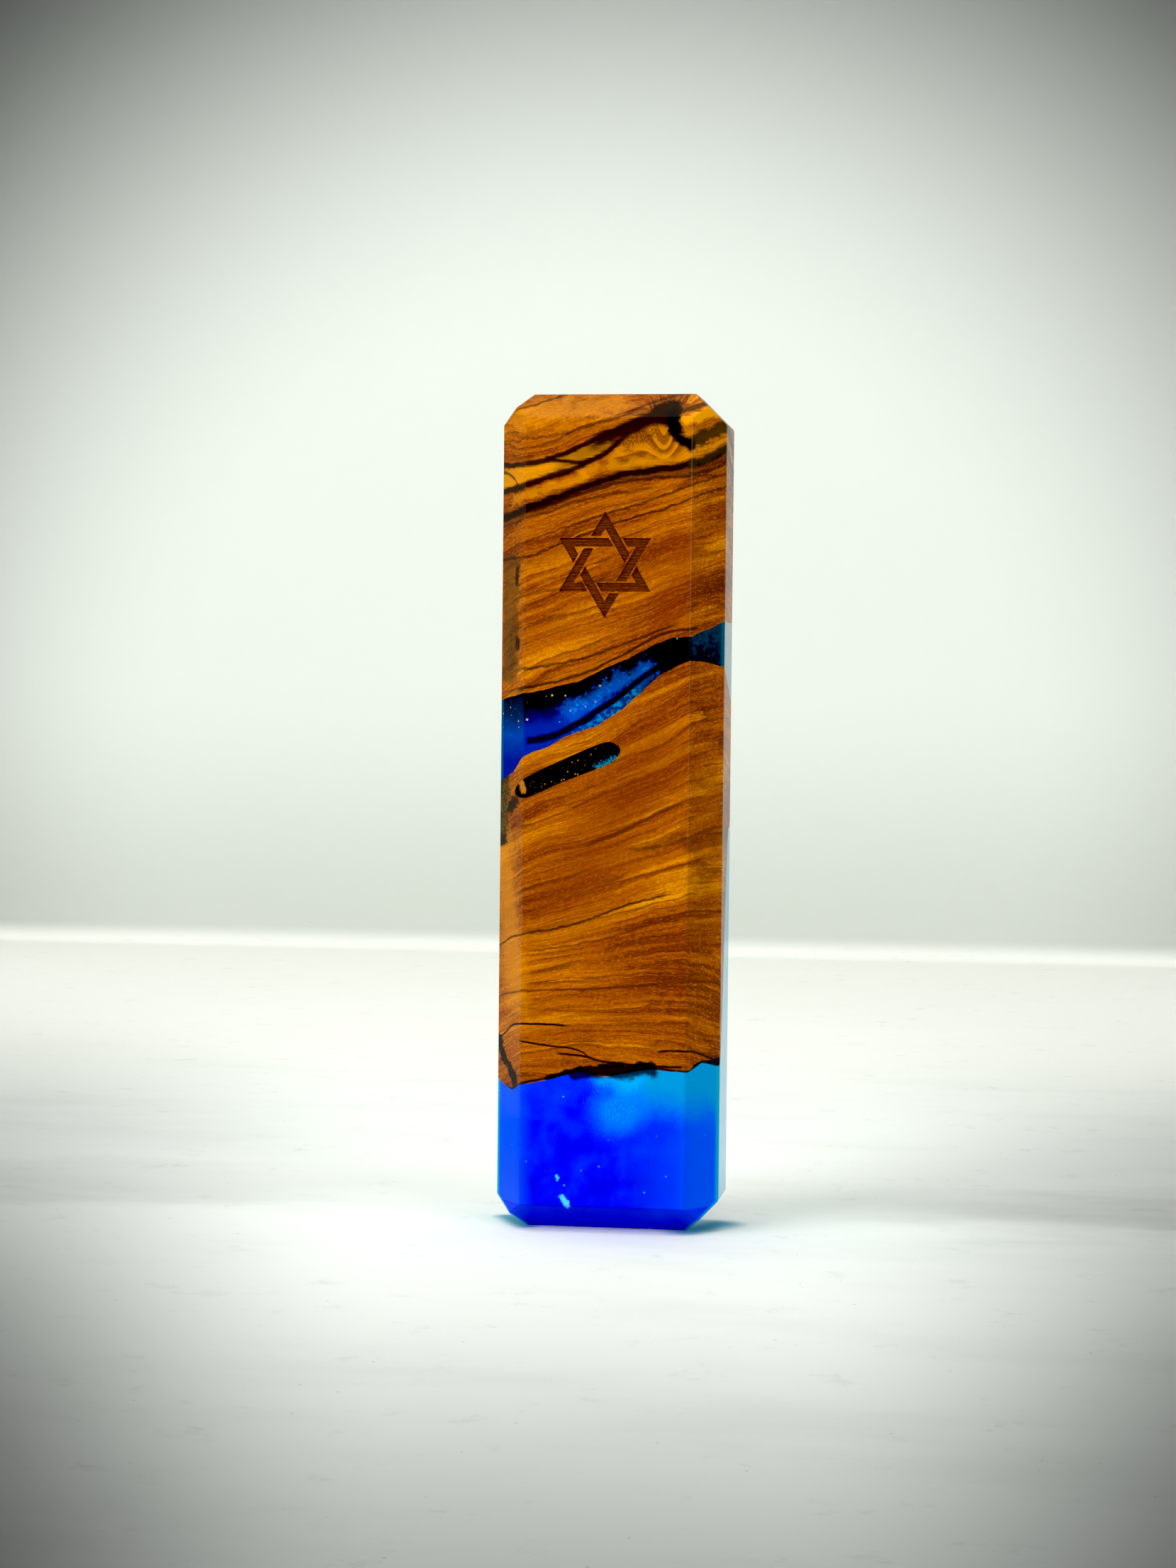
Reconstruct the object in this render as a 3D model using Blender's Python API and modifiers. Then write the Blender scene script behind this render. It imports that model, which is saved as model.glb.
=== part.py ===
"""Mezuzah case: a slab of olive wood and cast resin, with its back cover, fixings and parchment roll.

The case stands on its lower end. +Z is up, the front faces -Y and the back, which goes against the
doorpost, faces +Y. The origin is under the middle of the whole object. All lengths are in metres.
"""

import math

import bmesh
import bpy
from mathutils import Matrix, Vector

# The parchment roll and the film sleeve round it, which set how long and deep the channel is.
ROLL_LENGTH = 0.100
ROLL_DIAMETER = 0.0089
ROLL_HOLE = 0.0040
SLEEVE_WALL = 0.00035
SLEEVE_OVERHANG = 0.0005

# Clearances.
GAP = 0.0003  # between two pieces that are bonded or rest on each other
CHANNEL_SIDE_PLAY = 0.0006
CHANNEL_END_PLAY = 0.0015
CHANNEL_CORNER = 0.0010  # small, so that the sleeve can stand in the channel's end

# The slab.
CASE_WIDTH = 0.035
FRONT_WALL = 0.0039  # in front of the channel
END_BLOCK = 0.013  # beyond each end of the channel
SIDE_BEVEL = 0.0047
END_BEVEL = 0.0042
BEVEL_DROP = 0.0059
CORNER_CUT = 0.0048

# The back cover, let in flush behind the channel.
COVER_THICKNESS = 0.0020
COVER_SIDE_SEAT = 0.0048
COVER_END_SEAT = 0.0080
CORNER_RADIUS = 0.0025

# The countersunk screws that hold the cover.
SCREW_DIAMETER = 0.0022
SCREW_HEAD = 0.0042
SCREW_LENGTH = 0.0080
SCREW_POINT = 0.0014
SCREW_SLOT_WIDTH = 0.0006
SCREW_SLOT_DEPTH = 0.00045
SCREW_SLOT_CORNER = 0.0001

# The foam mounting tapes on the cover.
TAPE_WIDTH = 0.015
TAPE_LENGTH = 0.040
TAPE_THICKNESS = 0.0010
TAPE_TO_SCREW = 0.007  # from a tape's outer end to the screw's axis
TAPE_CORNER = 0.0015

# The engraved six-pointed star, from two triangles. Its centre is measured from the case's top.
STAR_RADIUS = 0.0082
STAR_STROKE = 0.0013
STAR_DEPTH = 0.0003
STAR_OFFSET = -0.0005
STAR_BELOW_TOP = 0.0267

# The seams between wood and resin, along the front: (across, height). The vein's heights are
# measured from the case's middle, the base's from the case's lower end.
VEIN_TOP = (
    (-0.0175, 0.0173),
    (-0.0134, 0.0183),
    (-0.0047, 0.0202),
    (0.0019, 0.0234),
    (0.0101, 0.0272),
    (0.0132, 0.0274),
    (0.0175, 0.0299),
)
VEIN_BOTTOM = (
    (-0.0175, 0.0058),
    (-0.0149, 0.0067),
    (-0.0133, 0.0086),
    (-0.0092, 0.0101),
    (-0.0060, 0.0120),
    (-0.0015, 0.0136),
    (0.0026, 0.0163),
    (0.0085, 0.0216),
    (0.0175, 0.0260),
)
BASE_TOP = (
    (-0.0175, 0.0230),
    (-0.0146, 0.0216),
    (-0.0131, 0.0227),
    (-0.0081, 0.0239),
    (-0.0038, 0.0249),
    (0.0000, 0.0244),
    (0.0073, 0.0257),
    (0.0132, 0.0253),
    (0.0150, 0.0266),
    (0.0175, 0.0257),
)
# How far each seam runs down or up by the time it reaches the back, at the left and right sides.
VEIN_FALL_LEFT, VEIN_FALL_RIGHT = 0.003, 0.009
BASE_RISE_LEFT, BASE_RISE_RIGHT = 0.007, 0.037
BASE_RISE_FROM, BASE_RISE_TO = 0.0055, 0.0150  # depths between which the base's seam rises

# The black resin in the knot slot: its outline on the front, heights from the case's middle.
SLOT_OUTLINE = (
    (-0.0146, 0.0030),
    (-0.0125, 0.0023),
    (-0.0072, 0.0046),
    (-0.0005, 0.0073),
    (0.0016, 0.0086),
    (0.0022, 0.0098),
    (0.0015, 0.0107),
    (-0.0006, 0.0109),
    (-0.0073, 0.0080),
    (-0.0132, 0.0050),
)
SLOT_DEPTH = 0.0032

# Sizes worked out from the ones above.
SLEEVE_DIAMETER = ROLL_DIAMETER + 2 * (GAP + SLEEVE_WALL)
SLEEVE_LENGTH = ROLL_LENGTH + 2 * SLEEVE_OVERHANG
CHANNEL_WIDTH = SLEEVE_DIAMETER + 2 * CHANNEL_SIDE_PLAY
CHANNEL_DEPTH = SLEEVE_DIAMETER + 2 * GAP
CHANNEL_LENGTH = SLEEVE_LENGTH + 2 * CHANNEL_END_PLAY
RECESS_DEPTH = COVER_THICKNESS + GAP
COVER_WIDTH = CHANNEL_WIDTH + 2 * COVER_SIDE_SEAT
COVER_LENGTH = CHANNEL_LENGTH + 2 * COVER_END_SEAT
CASE_HEIGHT = CHANNEL_LENGTH + 2 * END_BLOCK
CASE_DEPTH = FRONT_WALL + CHANNEL_DEPTH + RECESS_DEPTH
MIDDLE = CASE_HEIGHT / 2
FRONT_Y = -(CASE_DEPTH + GAP + TAPE_THICKNESS) / 2
BACK_Y = FRONT_Y + CASE_DEPTH
COVER_FRONT_Y = BACK_Y - COVER_THICKNESS
SCREW_RISE = CHANNEL_LENGTH / 2 + COVER_END_SEAT / 2  # from the middle to each screw
TAPE_RISE = SCREW_RISE - TAPE_TO_SCREW - TAPE_LENGTH / 2  # from the middle to each tape's centre
HOLE_DIAMETER = SCREW_DIAMETER + 2 * GAP
PILOT_DEPTH = SCREW_LENGTH - COVER_THICKNESS + 2 * GAP

# How finely curves are faceted, and how far a cutter reaches past what it cuts.
ROUND_STEPS = 32
SCREW_STEPS = 20
CORNER_STEPS = 4
SEAM_COLUMNS, SEAM_ROWS = 16, 8
REACH = 0.002
MERGE = 0.00001


def clear_scene():
    for obj in list(bpy.data.objects):
        bpy.data.objects.remove(obj, do_unlink=True)


def collection(name):
    made = bpy.data.collections.new(name)
    bpy.context.scene.collection.children.link(made)
    return made


def principled(name, colour, roughness, metallic=0.0, alpha=1.0):
    material = bpy.data.materials.new(name)
    material.use_nodes = True
    shader = material.node_tree.nodes["Principled BSDF"]
    shader.inputs["Base Color"].default_value = (*colour, 1.0)
    shader.inputs["Roughness"].default_value = roughness
    shader.inputs["Metallic"].default_value = metallic
    shader.inputs["Alpha"].default_value = alpha
    return material


def mesh_of(bm, name):
    """The finished mesh, with its faces turned outwards."""
    bmesh.ops.recalc_face_normals(bm, faces=bm.faces)
    mesh = bpy.data.meshes.new(name)
    bm.to_mesh(mesh)
    bm.free()
    return mesh


def add_part(name, mesh, material):
    part = bpy.data.objects.new(name, mesh)
    part.data.materials.append(material)
    parts.objects.link(part)
    return part


def add_cutter(name, mesh):
    cutter = bpy.data.objects.new(name, mesh)
    cutter.hide_render = True
    cutter.display_type = "WIRE"
    cutters.objects.link(cutter)
    return cutter


def boolean(part, cutter, operation="DIFFERENCE"):
    modifier = part.modifiers.new(cutter.name, "BOOLEAN")
    modifier.operation = operation
    modifier.object = cutter


def slice_off(bm, point, normal):
    """Cuts away what lies beyond the plane, and closes the cut with one face."""
    everything = bm.verts[:] + bm.edges[:] + bm.faces[:]
    cut = bmesh.ops.bisect_plane(bm, geom=everything, plane_co=point, plane_no=normal, clear_outer=True)
    rim = [item for item in cut["geom_cut"] if isinstance(item, bmesh.types.BMEdge)]
    bmesh.ops.edgeloop_fill(bm, edges=rim)


def slab_mesh():
    """The whole slab: a block with four cut corners and a bevelled front."""
    bm = bmesh.new()
    centre = Matrix.Translation((0, FRONT_Y + CASE_DEPTH / 2, MIDDLE))
    size = Matrix.Diagonal((CASE_WIDTH, CASE_DEPTH, CASE_HEIGHT, 1))
    bmesh.ops.create_cube(bm, size=1.0, matrix=centre @ size)
    side, shoulder = CASE_WIDTH / 2, FRONT_Y + BEVEL_DROP
    for across in (-1, 1):
        slice_off(bm, (across * side, shoulder, MIDDLE), (across * BEVEL_DROP, -SIDE_BEVEL, 0))
    for up in (-1, 1):
        end = MIDDLE + up * CASE_HEIGHT / 2
        slice_off(bm, (0, shoulder, end), (0, -END_BEVEL, up * BEVEL_DROP))
        for across in (-1, 1):
            slice_off(bm, (across * (side - CORNER_CUT), 0, end), (across, 0, up))
    return mesh_of(bm, "slab")


def rounded_box(low, high, radius):
    """A box between two corners whose four edges along Y are rounded."""
    bm = bmesh.new()
    low, high = Vector(low), Vector(high)
    size = Matrix.Diagonal((*(high - low), 1))
    bmesh.ops.create_cube(bm, size=1.0, matrix=Matrix.Translation((low + high) / 2) @ size)
    along_y = [edge for edge in bm.edges if abs(edge.verts[0].co.y - edge.verts[1].co.y) > MERGE]
    bmesh.ops.bevel(bm, geom=along_y, offset=radius, segments=CORNER_STEPS, affect="EDGES", profile=0.5)
    return mesh_of(bm, "rounded_box")


def centred_box(width, length, height, y_from, y_to, radius):
    """A rounded box centred across the case, of this length up it, with its middle at a height."""
    low = (-width / 2, y_from, height - length / 2)
    return rounded_box(low, (width / 2, y_to, height + length / 2), radius)


def turned(name, profile, steps, closed):
    """A shape turned about Z from a profile of (radius, height) points."""
    mesh = bpy.data.meshes.new(name)
    points = [(radius, 0, height) for radius, height in profile]
    edges = [(i, i + 1) for i in range(len(points) - 1)]
    if closed:
        edges.append((len(points) - 1, 0))
    mesh.from_pydata(points, edges, [])
    obj = bpy.data.objects.new(name, mesh)
    screw = obj.modifiers.new("turn", "SCREW")
    screw.steps = screw.render_steps = steps
    screw.use_merge_vertices = True
    screw.merge_threshold = MERGE
    return obj


def tube_profile(outer, inner, length):
    """Down the outside, in, and up the inside."""
    return [(outer, length), (outer, 0), (inner, 0), (inner, length)]


def height_on(line, x):
    """The height at x of the straight runs through a seam's points, level beyond its ends."""
    for (x0, z0), (x1, z1) in zip(line, line[1:]):
        if x <= x1:
            part = max(0.0, (x - x0) / (x1 - x0))
            return z0 + (z1 - z0) * part
    return line[-1][1]


def between(left, right, x):
    """A value that goes from left at one side of the case to right at the other."""
    part = min(1.0, max(0.0, 0.5 + x / CASE_WIDTH))
    return left + (right - left) * part


def eased(value):
    value = min(1.0, max(0.0, value))
    return value * value * (3 - 2 * value)


# The seam surfaces: each gives a height for a place across the case and a depth behind its front.
def vein_top(x, depth):
    return MIDDLE + height_on(VEIN_TOP, x)


def vein_bottom(x, depth):
    fall = between(VEIN_FALL_LEFT, VEIN_FALL_RIGHT, x) * max(0.0, depth) / CASE_DEPTH
    return MIDDLE + height_on(VEIN_BOTTOM, x) - fall


def base_top(x, depth):
    climb = eased((depth - BASE_RISE_FROM) / (BASE_RISE_TO - BASE_RISE_FROM))
    return height_on(BASE_TOP, x) + between(BASE_RISE_LEFT, BASE_RISE_RIGHT, x) * climb


def below_case(x, depth):
    return -REACH


def above_case(x, depth):
    return CASE_HEIGHT + REACH


def zone(name, lower, upper):
    """The space between two seam surfaces, as a closed cutter that reaches past the slab."""
    bm = bmesh.new()
    bmesh.ops.create_grid(bm, x_segments=SEAM_COLUMNS, y_segments=SEAM_ROWS, size=0.5)
    floor = bm.verts[:]
    extruded = bmesh.ops.extrude_face_region(bm, geom=bm.faces[:])
    roof = [item for item in extruded["geom"] if isinstance(item, bmesh.types.BMVert)]
    for verts, surface, inset in ((floor, lower, GAP / 2), (roof, upper, -GAP / 2)):
        for vert in verts:
            x = vert.co.x * (CASE_WIDTH + 2 * REACH)
            depth = (vert.co.y + 0.5) * (CASE_DEPTH + 2 * REACH) - REACH
            vert.co = (x, FRONT_Y + depth, surface(x, depth) + inset)
    bmesh.ops.triangulate(bm, faces=bm.faces)
    return add_cutter(name, mesh_of(bm, name))


def prism_mesh(name, outline, y_from, y_to):
    """A flat outline across the front, given a thickness from one Y to another."""
    curve = bpy.data.curves.new(name, "CURVE")
    curve.dimensions = "2D"
    curve.fill_mode = "BOTH"
    curve.extrude = (y_to - y_from) / 2
    spline = curve.splines.new("POLY")
    spline.points.add(len(outline) - 1)
    for point, (x, z) in zip(spline.points, outline):
        point.co = (x, z, 0, 1)
    spline.use_cyclic_u = True
    guide = bpy.data.objects.new(name, curve)
    bpy.context.scene.collection.objects.link(guide)
    graph = bpy.context.evaluated_depsgraph_get()
    mesh = bpy.data.meshes.new_from_object(guide.evaluated_get(graph))
    bpy.data.objects.remove(guide)
    upright = Matrix.Translation((0, (y_from + y_to) / 2, 0)) @ Matrix.Rotation(math.radians(90), 4, "X")
    bm = bmesh.new()
    bm.from_mesh(mesh)
    bpy.data.meshes.remove(mesh)
    bmesh.ops.remove_doubles(bm, verts=bm.verts, dist=MERGE)
    bmesh.ops.transform(bm, matrix=upright, verts=bm.verts)
    return mesh_of(bm, name)


def grown(outline, by):
    """The same outline with each corner moved out, so that its sides move out by this much."""
    moved = []
    for i, here in enumerate(outline):
        before = (Vector(here) - Vector(outline[i - 1])).normalized()
        after = (Vector(outline[(i + 1) % len(outline)]) - Vector(here)).normalized()
        out = Vector((before.y + after.y, -before.x - after.x)).normalized()
        moved.append(Vector(here) + out * by / math.sqrt((1 + before.dot(after)) / 2))
    return [tuple(corner) for corner in moved]


def triangle_ring(name, turn):
    """A cutter for one triangle of the star: a three-sided ring, pointing up or down."""
    rings = []
    for radius in (STAR_RADIUS, STAR_RADIUS - 2 * STAR_STROKE):
        reach = STAR_DEPTH if radius == STAR_RADIUS else STAR_DEPTH + REACH
        bm = bmesh.new()
        bmesh.ops.create_cone(
            bm,
            cap_ends=True,
            segments=3,
            radius1=radius,
            radius2=radius,
            depth=reach + 2 * REACH,
            matrix=Matrix.Translation((0, (reach - 2 * REACH) / 2, 0))
            @ Matrix.Rotation(turn, 4, "Y")
            @ Matrix.Rotation(math.radians(90), 4, "X"),
        )
        rings.append(mesh_of(bm, name))
    outer, inner = (add_cutter(name + kind, mesh) for kind, mesh in zip(("", "_inside"), rings))
    for ring in (outer, inner):
        ring.location = (STAR_OFFSET, FRONT_Y, CASE_HEIGHT - STAR_BELOW_TOP)
    boolean(outer, inner)
    return outer


def slab_piece(name, material, lower, upper, tools):
    """One piece of the slab: what lies between two seams, less the channel, recess and holes."""
    piece = add_part(name, slab_mesh(), material)
    boolean(piece, zone(name + "_zone", lower, upper), "INTERSECT")
    for tool in tools:
        boolean(piece, tool)


def hole_cutter(name, height):
    """A screw's clearance hole through the cover and into the slab, with its countersink."""
    head, shank = SCREW_HEAD / 2 + GAP, HOLE_DIAMETER / 2
    profile = [
        (0, REACH),
        (head, REACH),
        (head, 0),
        (shank, -(head - shank)),
        (shank, -COVER_THICKNESS - PILOT_DEPTH),
        (0, -COVER_THICKNESS - PILOT_DEPTH),
    ]
    cutter = turned(name, profile, SCREW_STEPS, closed=False)
    cutter.hide_render = True
    cutter.display_type = "WIRE"
    cutters.objects.link(cutter)
    face_back(cutter, height)
    return cutter


def face_back(obj, height):
    """Turns a piece made along Z so that its top is at the back face, at this height."""
    obj.rotation_euler = (math.radians(-90), 0, 0)
    obj.location = (0, BACK_Y, height)


def cover_screw(name, height, material):
    head, shank = SCREW_HEAD / 2, SCREW_DIAMETER / 2
    profile = [
        (0, 0),
        (head, 0),
        (shank, -(head - shank)),
        (shank, SCREW_POINT - SCREW_LENGTH),
        (0, -SCREW_LENGTH),
    ]
    screw = turned(name, profile, SCREW_STEPS, closed=False)
    screw.data.materials.append(material)
    parts.objects.link(screw)
    face_back(screw, height)
    slot = centred_box(
        SCREW_SLOT_WIDTH,
        SCREW_HEAD + REACH,
        height,
        BACK_Y - SCREW_SLOT_DEPTH,
        BACK_Y + REACH,
        SCREW_SLOT_CORNER,
    )
    boolean(screw, add_cutter(name + "_slot", slot))


def tube(name, diameter, hole, length, height, material):
    """An upright tube in the channel, standing at this height."""
    piece = turned(name, tube_profile(diameter / 2, hole / 2, length), ROUND_STEPS, closed=True)
    piece.data.materials.append(material)
    piece.location = (0, FRONT_Y + FRONT_WALL + GAP + SLEEVE_DIAMETER / 2, height)
    parts.objects.link(piece)


clear_scene()
parts = collection("mezuzah_case")
cutters = collection("cutters")

olive_wood = principled("olive_wood", (0.50, 0.22, 0.04), 0.32)
blue_resin = principled("blue_resin", (0.00, 0.06, 0.60), 0.12)
black_resin = principled("black_resin", (0.010, 0.010, 0.014), 0.15)
brass = principled("brass", (0.70, 0.50, 0.20), 0.35, metallic=1.0)
parchment = principled("parchment", (0.80, 0.70, 0.52), 0.60)
clear_film = principled("clear_film", (0.90, 0.92, 0.92), 0.15, alpha=0.35)
foam_tape = principled("foam_tape", (0.85, 0.85, 0.83), 0.70)

# What is cut from the slab's pieces.
channel = add_cutter(
    "channel",
    centred_box(
        CHANNEL_WIDTH, CHANNEL_LENGTH, MIDDLE, FRONT_Y + FRONT_WALL, COVER_FRONT_Y, CHANNEL_CORNER
    ),
)
recess = add_cutter(
    "cover_recess",
    centred_box(
        COVER_WIDTH + 2 * GAP,
        COVER_LENGTH + 2 * GAP,
        MIDDLE,
        BACK_Y - RECESS_DEPTH,
        BACK_Y + REACH,
        CORNER_RADIUS + GAP,
    ),
)
upper_hole = hole_cutter("upper_hole", MIDDLE + SCREW_RISE)
lower_hole = hole_cutter("lower_hole", MIDDLE - SCREW_RISE)
star = [triangle_ring("star_up", 0.0), triangle_ring("star_down", math.radians(180))]
slot_outline = [(x, MIDDLE + z) for x, z in SLOT_OUTLINE]
slot_pocket = add_cutter(
    "slot_pocket",
    prism_mesh("slot_pocket", grown(slot_outline, GAP), FRONT_Y - REACH, FRONT_Y + SLOT_DEPTH + GAP),
)
slot_fill = add_cutter(
    "slot_fill", prism_mesh("slot_fill", slot_outline, FRONT_Y - REACH, FRONT_Y + SLOT_DEPTH)
)

# The slab, from the top down.
slab_piece("wood_upper", olive_wood, vein_top, above_case, [channel, recess, upper_hole, *star])
slab_piece("resin_vein", blue_resin, vein_bottom, vein_top, [channel, recess])
slab_piece("wood_lower", olive_wood, base_top, vein_bottom, [channel, recess, slot_pocket])
slab_piece("resin_base", blue_resin, below_case, base_top, [channel, recess, lower_hole])
boolean(add_part("resin_slot", slab_mesh(), black_resin), slot_fill, "INTERSECT")

# The parchment roll in its film sleeve, standing on the channel's lower end.
sleeve_foot = MIDDLE - CHANNEL_LENGTH / 2 + GAP
tube(
    "roll_sleeve",
    SLEEVE_DIAMETER,
    SLEEVE_DIAMETER - 2 * SLEEVE_WALL,
    SLEEVE_LENGTH,
    sleeve_foot,
    clear_film,
)
tube("parchment_roll", ROLL_DIAMETER, ROLL_HOLE, ROLL_LENGTH, sleeve_foot + SLEEVE_OVERHANG, parchment)

# The back cover, its screws and the tapes that hold it to the doorpost.
cover = add_part(
    "back_cover",
    centred_box(COVER_WIDTH, COVER_LENGTH, MIDDLE, COVER_FRONT_Y, BACK_Y, CORNER_RADIUS),
    olive_wood,
)
boolean(cover, upper_hole)
boolean(cover, lower_hole)
for name, up in (("upper", 1), ("lower", -1)):
    cover_screw("cover_screw_" + name, MIDDLE + up * SCREW_RISE, brass)
    tape_box = centred_box(
        TAPE_WIDTH,
        TAPE_LENGTH,
        MIDDLE + up * TAPE_RISE,
        BACK_Y + GAP,
        BACK_Y + GAP + TAPE_THICKNESS,
        TAPE_CORNER,
    )
    add_part("mounting_tape_" + name, tape_box, foam_tape)
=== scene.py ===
"""Looks of a mezuzah case: olive wood and blue cast resin round a rolled parchment.

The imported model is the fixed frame. Each piece here is a numeric surface that stands for one CAD node,
in the same place and metres. The front faces -Y, +Z is up, and the back, at +Y, goes on the doorpost.
Shader patterns are written in millimetres: across (x), depth behind the front face, and height (z).
"""

import logging
import math
from dataclasses import dataclass, field
from enum import Enum
from typing import Any, Callable, Sequence

import bmesh
import bpy
import numpy as np
from mathutils import Matrix, Vector


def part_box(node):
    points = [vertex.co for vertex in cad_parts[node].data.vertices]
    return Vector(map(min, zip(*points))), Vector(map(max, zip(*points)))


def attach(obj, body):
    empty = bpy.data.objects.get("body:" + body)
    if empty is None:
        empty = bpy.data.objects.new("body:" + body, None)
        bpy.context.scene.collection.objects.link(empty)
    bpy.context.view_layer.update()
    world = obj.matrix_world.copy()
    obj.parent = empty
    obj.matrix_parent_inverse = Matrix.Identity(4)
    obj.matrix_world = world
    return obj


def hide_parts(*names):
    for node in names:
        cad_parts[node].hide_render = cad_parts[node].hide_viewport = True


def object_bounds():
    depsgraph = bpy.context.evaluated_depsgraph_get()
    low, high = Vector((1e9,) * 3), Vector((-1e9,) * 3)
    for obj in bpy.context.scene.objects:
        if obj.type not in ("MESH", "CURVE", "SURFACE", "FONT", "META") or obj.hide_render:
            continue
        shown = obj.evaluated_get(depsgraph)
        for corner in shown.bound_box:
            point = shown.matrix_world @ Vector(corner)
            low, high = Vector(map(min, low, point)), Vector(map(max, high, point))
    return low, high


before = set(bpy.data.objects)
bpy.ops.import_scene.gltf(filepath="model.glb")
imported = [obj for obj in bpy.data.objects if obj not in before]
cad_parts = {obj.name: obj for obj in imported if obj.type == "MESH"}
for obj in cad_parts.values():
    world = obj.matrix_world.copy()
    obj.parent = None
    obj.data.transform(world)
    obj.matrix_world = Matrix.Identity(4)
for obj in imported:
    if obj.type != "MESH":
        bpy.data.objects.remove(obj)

CAD_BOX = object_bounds()
LOG = logging.getLogger("mezuzah_case")
MM = 0.001
FULL_TURN = 2 * math.pi

Points = Sequence[tuple[float, float]]
Colour = tuple[float, float, float]
HeightLine = Callable[[np.ndarray, np.ndarray], np.ndarray]


# --- Shader toolkit ---


def paint(red: int, green: int, blue: int) -> Colour:
    """A display colour of 0 to 255 as the linear colour that a shader takes.

    Args:
        red: Red share, 0 to 255.
        green: Green share, 0 to 255.
        blue: Blue share, 0 to 255.

    Returns:
        The linear colour.
    """
    shares = (value / 255 for value in (red, green, blue))
    return tuple(s / 12.92 if s <= 0.04045 else ((s + 0.055) / 1.055) ** 2.4 for s in shares)


class Val:
    """A node's output socket that can be used in a Python expression."""

    def __init__(self, recipe: "Recipe", socket: bpy.types.NodeSocket) -> None:
        """Keeps the socket and the recipe it belongs to."""
        self.recipe = recipe
        self.socket = socket

    def __add__(self, other: "Val | float") -> "Val":
        """Sum."""
        return self.recipe.math("ADD", self, other)

    __radd__ = __add__

    def __sub__(self, other: "Val | float") -> "Val":
        """Difference."""
        return self.recipe.math("SUBTRACT", self, other)

    def __rsub__(self, other: "Val | float") -> "Val":
        """Difference, with this value taken away."""
        return self.recipe.math("SUBTRACT", other, self)

    def __mul__(self, other: "Val | float") -> "Val":
        """Product."""
        return self.recipe.math("MULTIPLY", self, other)

    __rmul__ = __mul__

    def __truediv__(self, other: "Val | float") -> "Val":
        """Quotient."""
        return self.recipe.math("DIVIDE", self, other)

    def __rtruediv__(self, other: "Val | float") -> "Val":
        """Quotient, with this value as the divisor."""
        return self.recipe.math("DIVIDE", other, self)

    def __pow__(self, other: "Val | float") -> "Val":
        """Power."""
        return self.recipe.math("POWER", self, other)

    def __abs__(self) -> "Val":
        """Size without its sign."""
        return self.recipe.math("ABSOLUTE", self)

    def at_least(self, other: "Val | float") -> "Val":
        """The larger of the two."""
        return self.recipe.math("MAXIMUM", self, other)

    def at_most(self, other: "Val | float") -> "Val":
        """The smaller of the two."""
        return self.recipe.math("MINIMUM", self, other)

    def rise(self, low: float, high: float) -> "Val":
        """A soft step: 0 at low, 1 at high. With low above high it falls from 1 to 0.

        Args:
            low: Where the step is 0.
            high: Where the step is 1.

        Returns:
            The step, from 0 to 1.
        """
        sockets = {"Value": self, "From Min": min(low, high), "From Max": max(low, high)}
        step = self.recipe.read("ShaderNodeMapRange", "Result", sockets, {"interpolation_type": "SMOOTHSTEP"})
        return 1.0 - step if low > high else step


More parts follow.
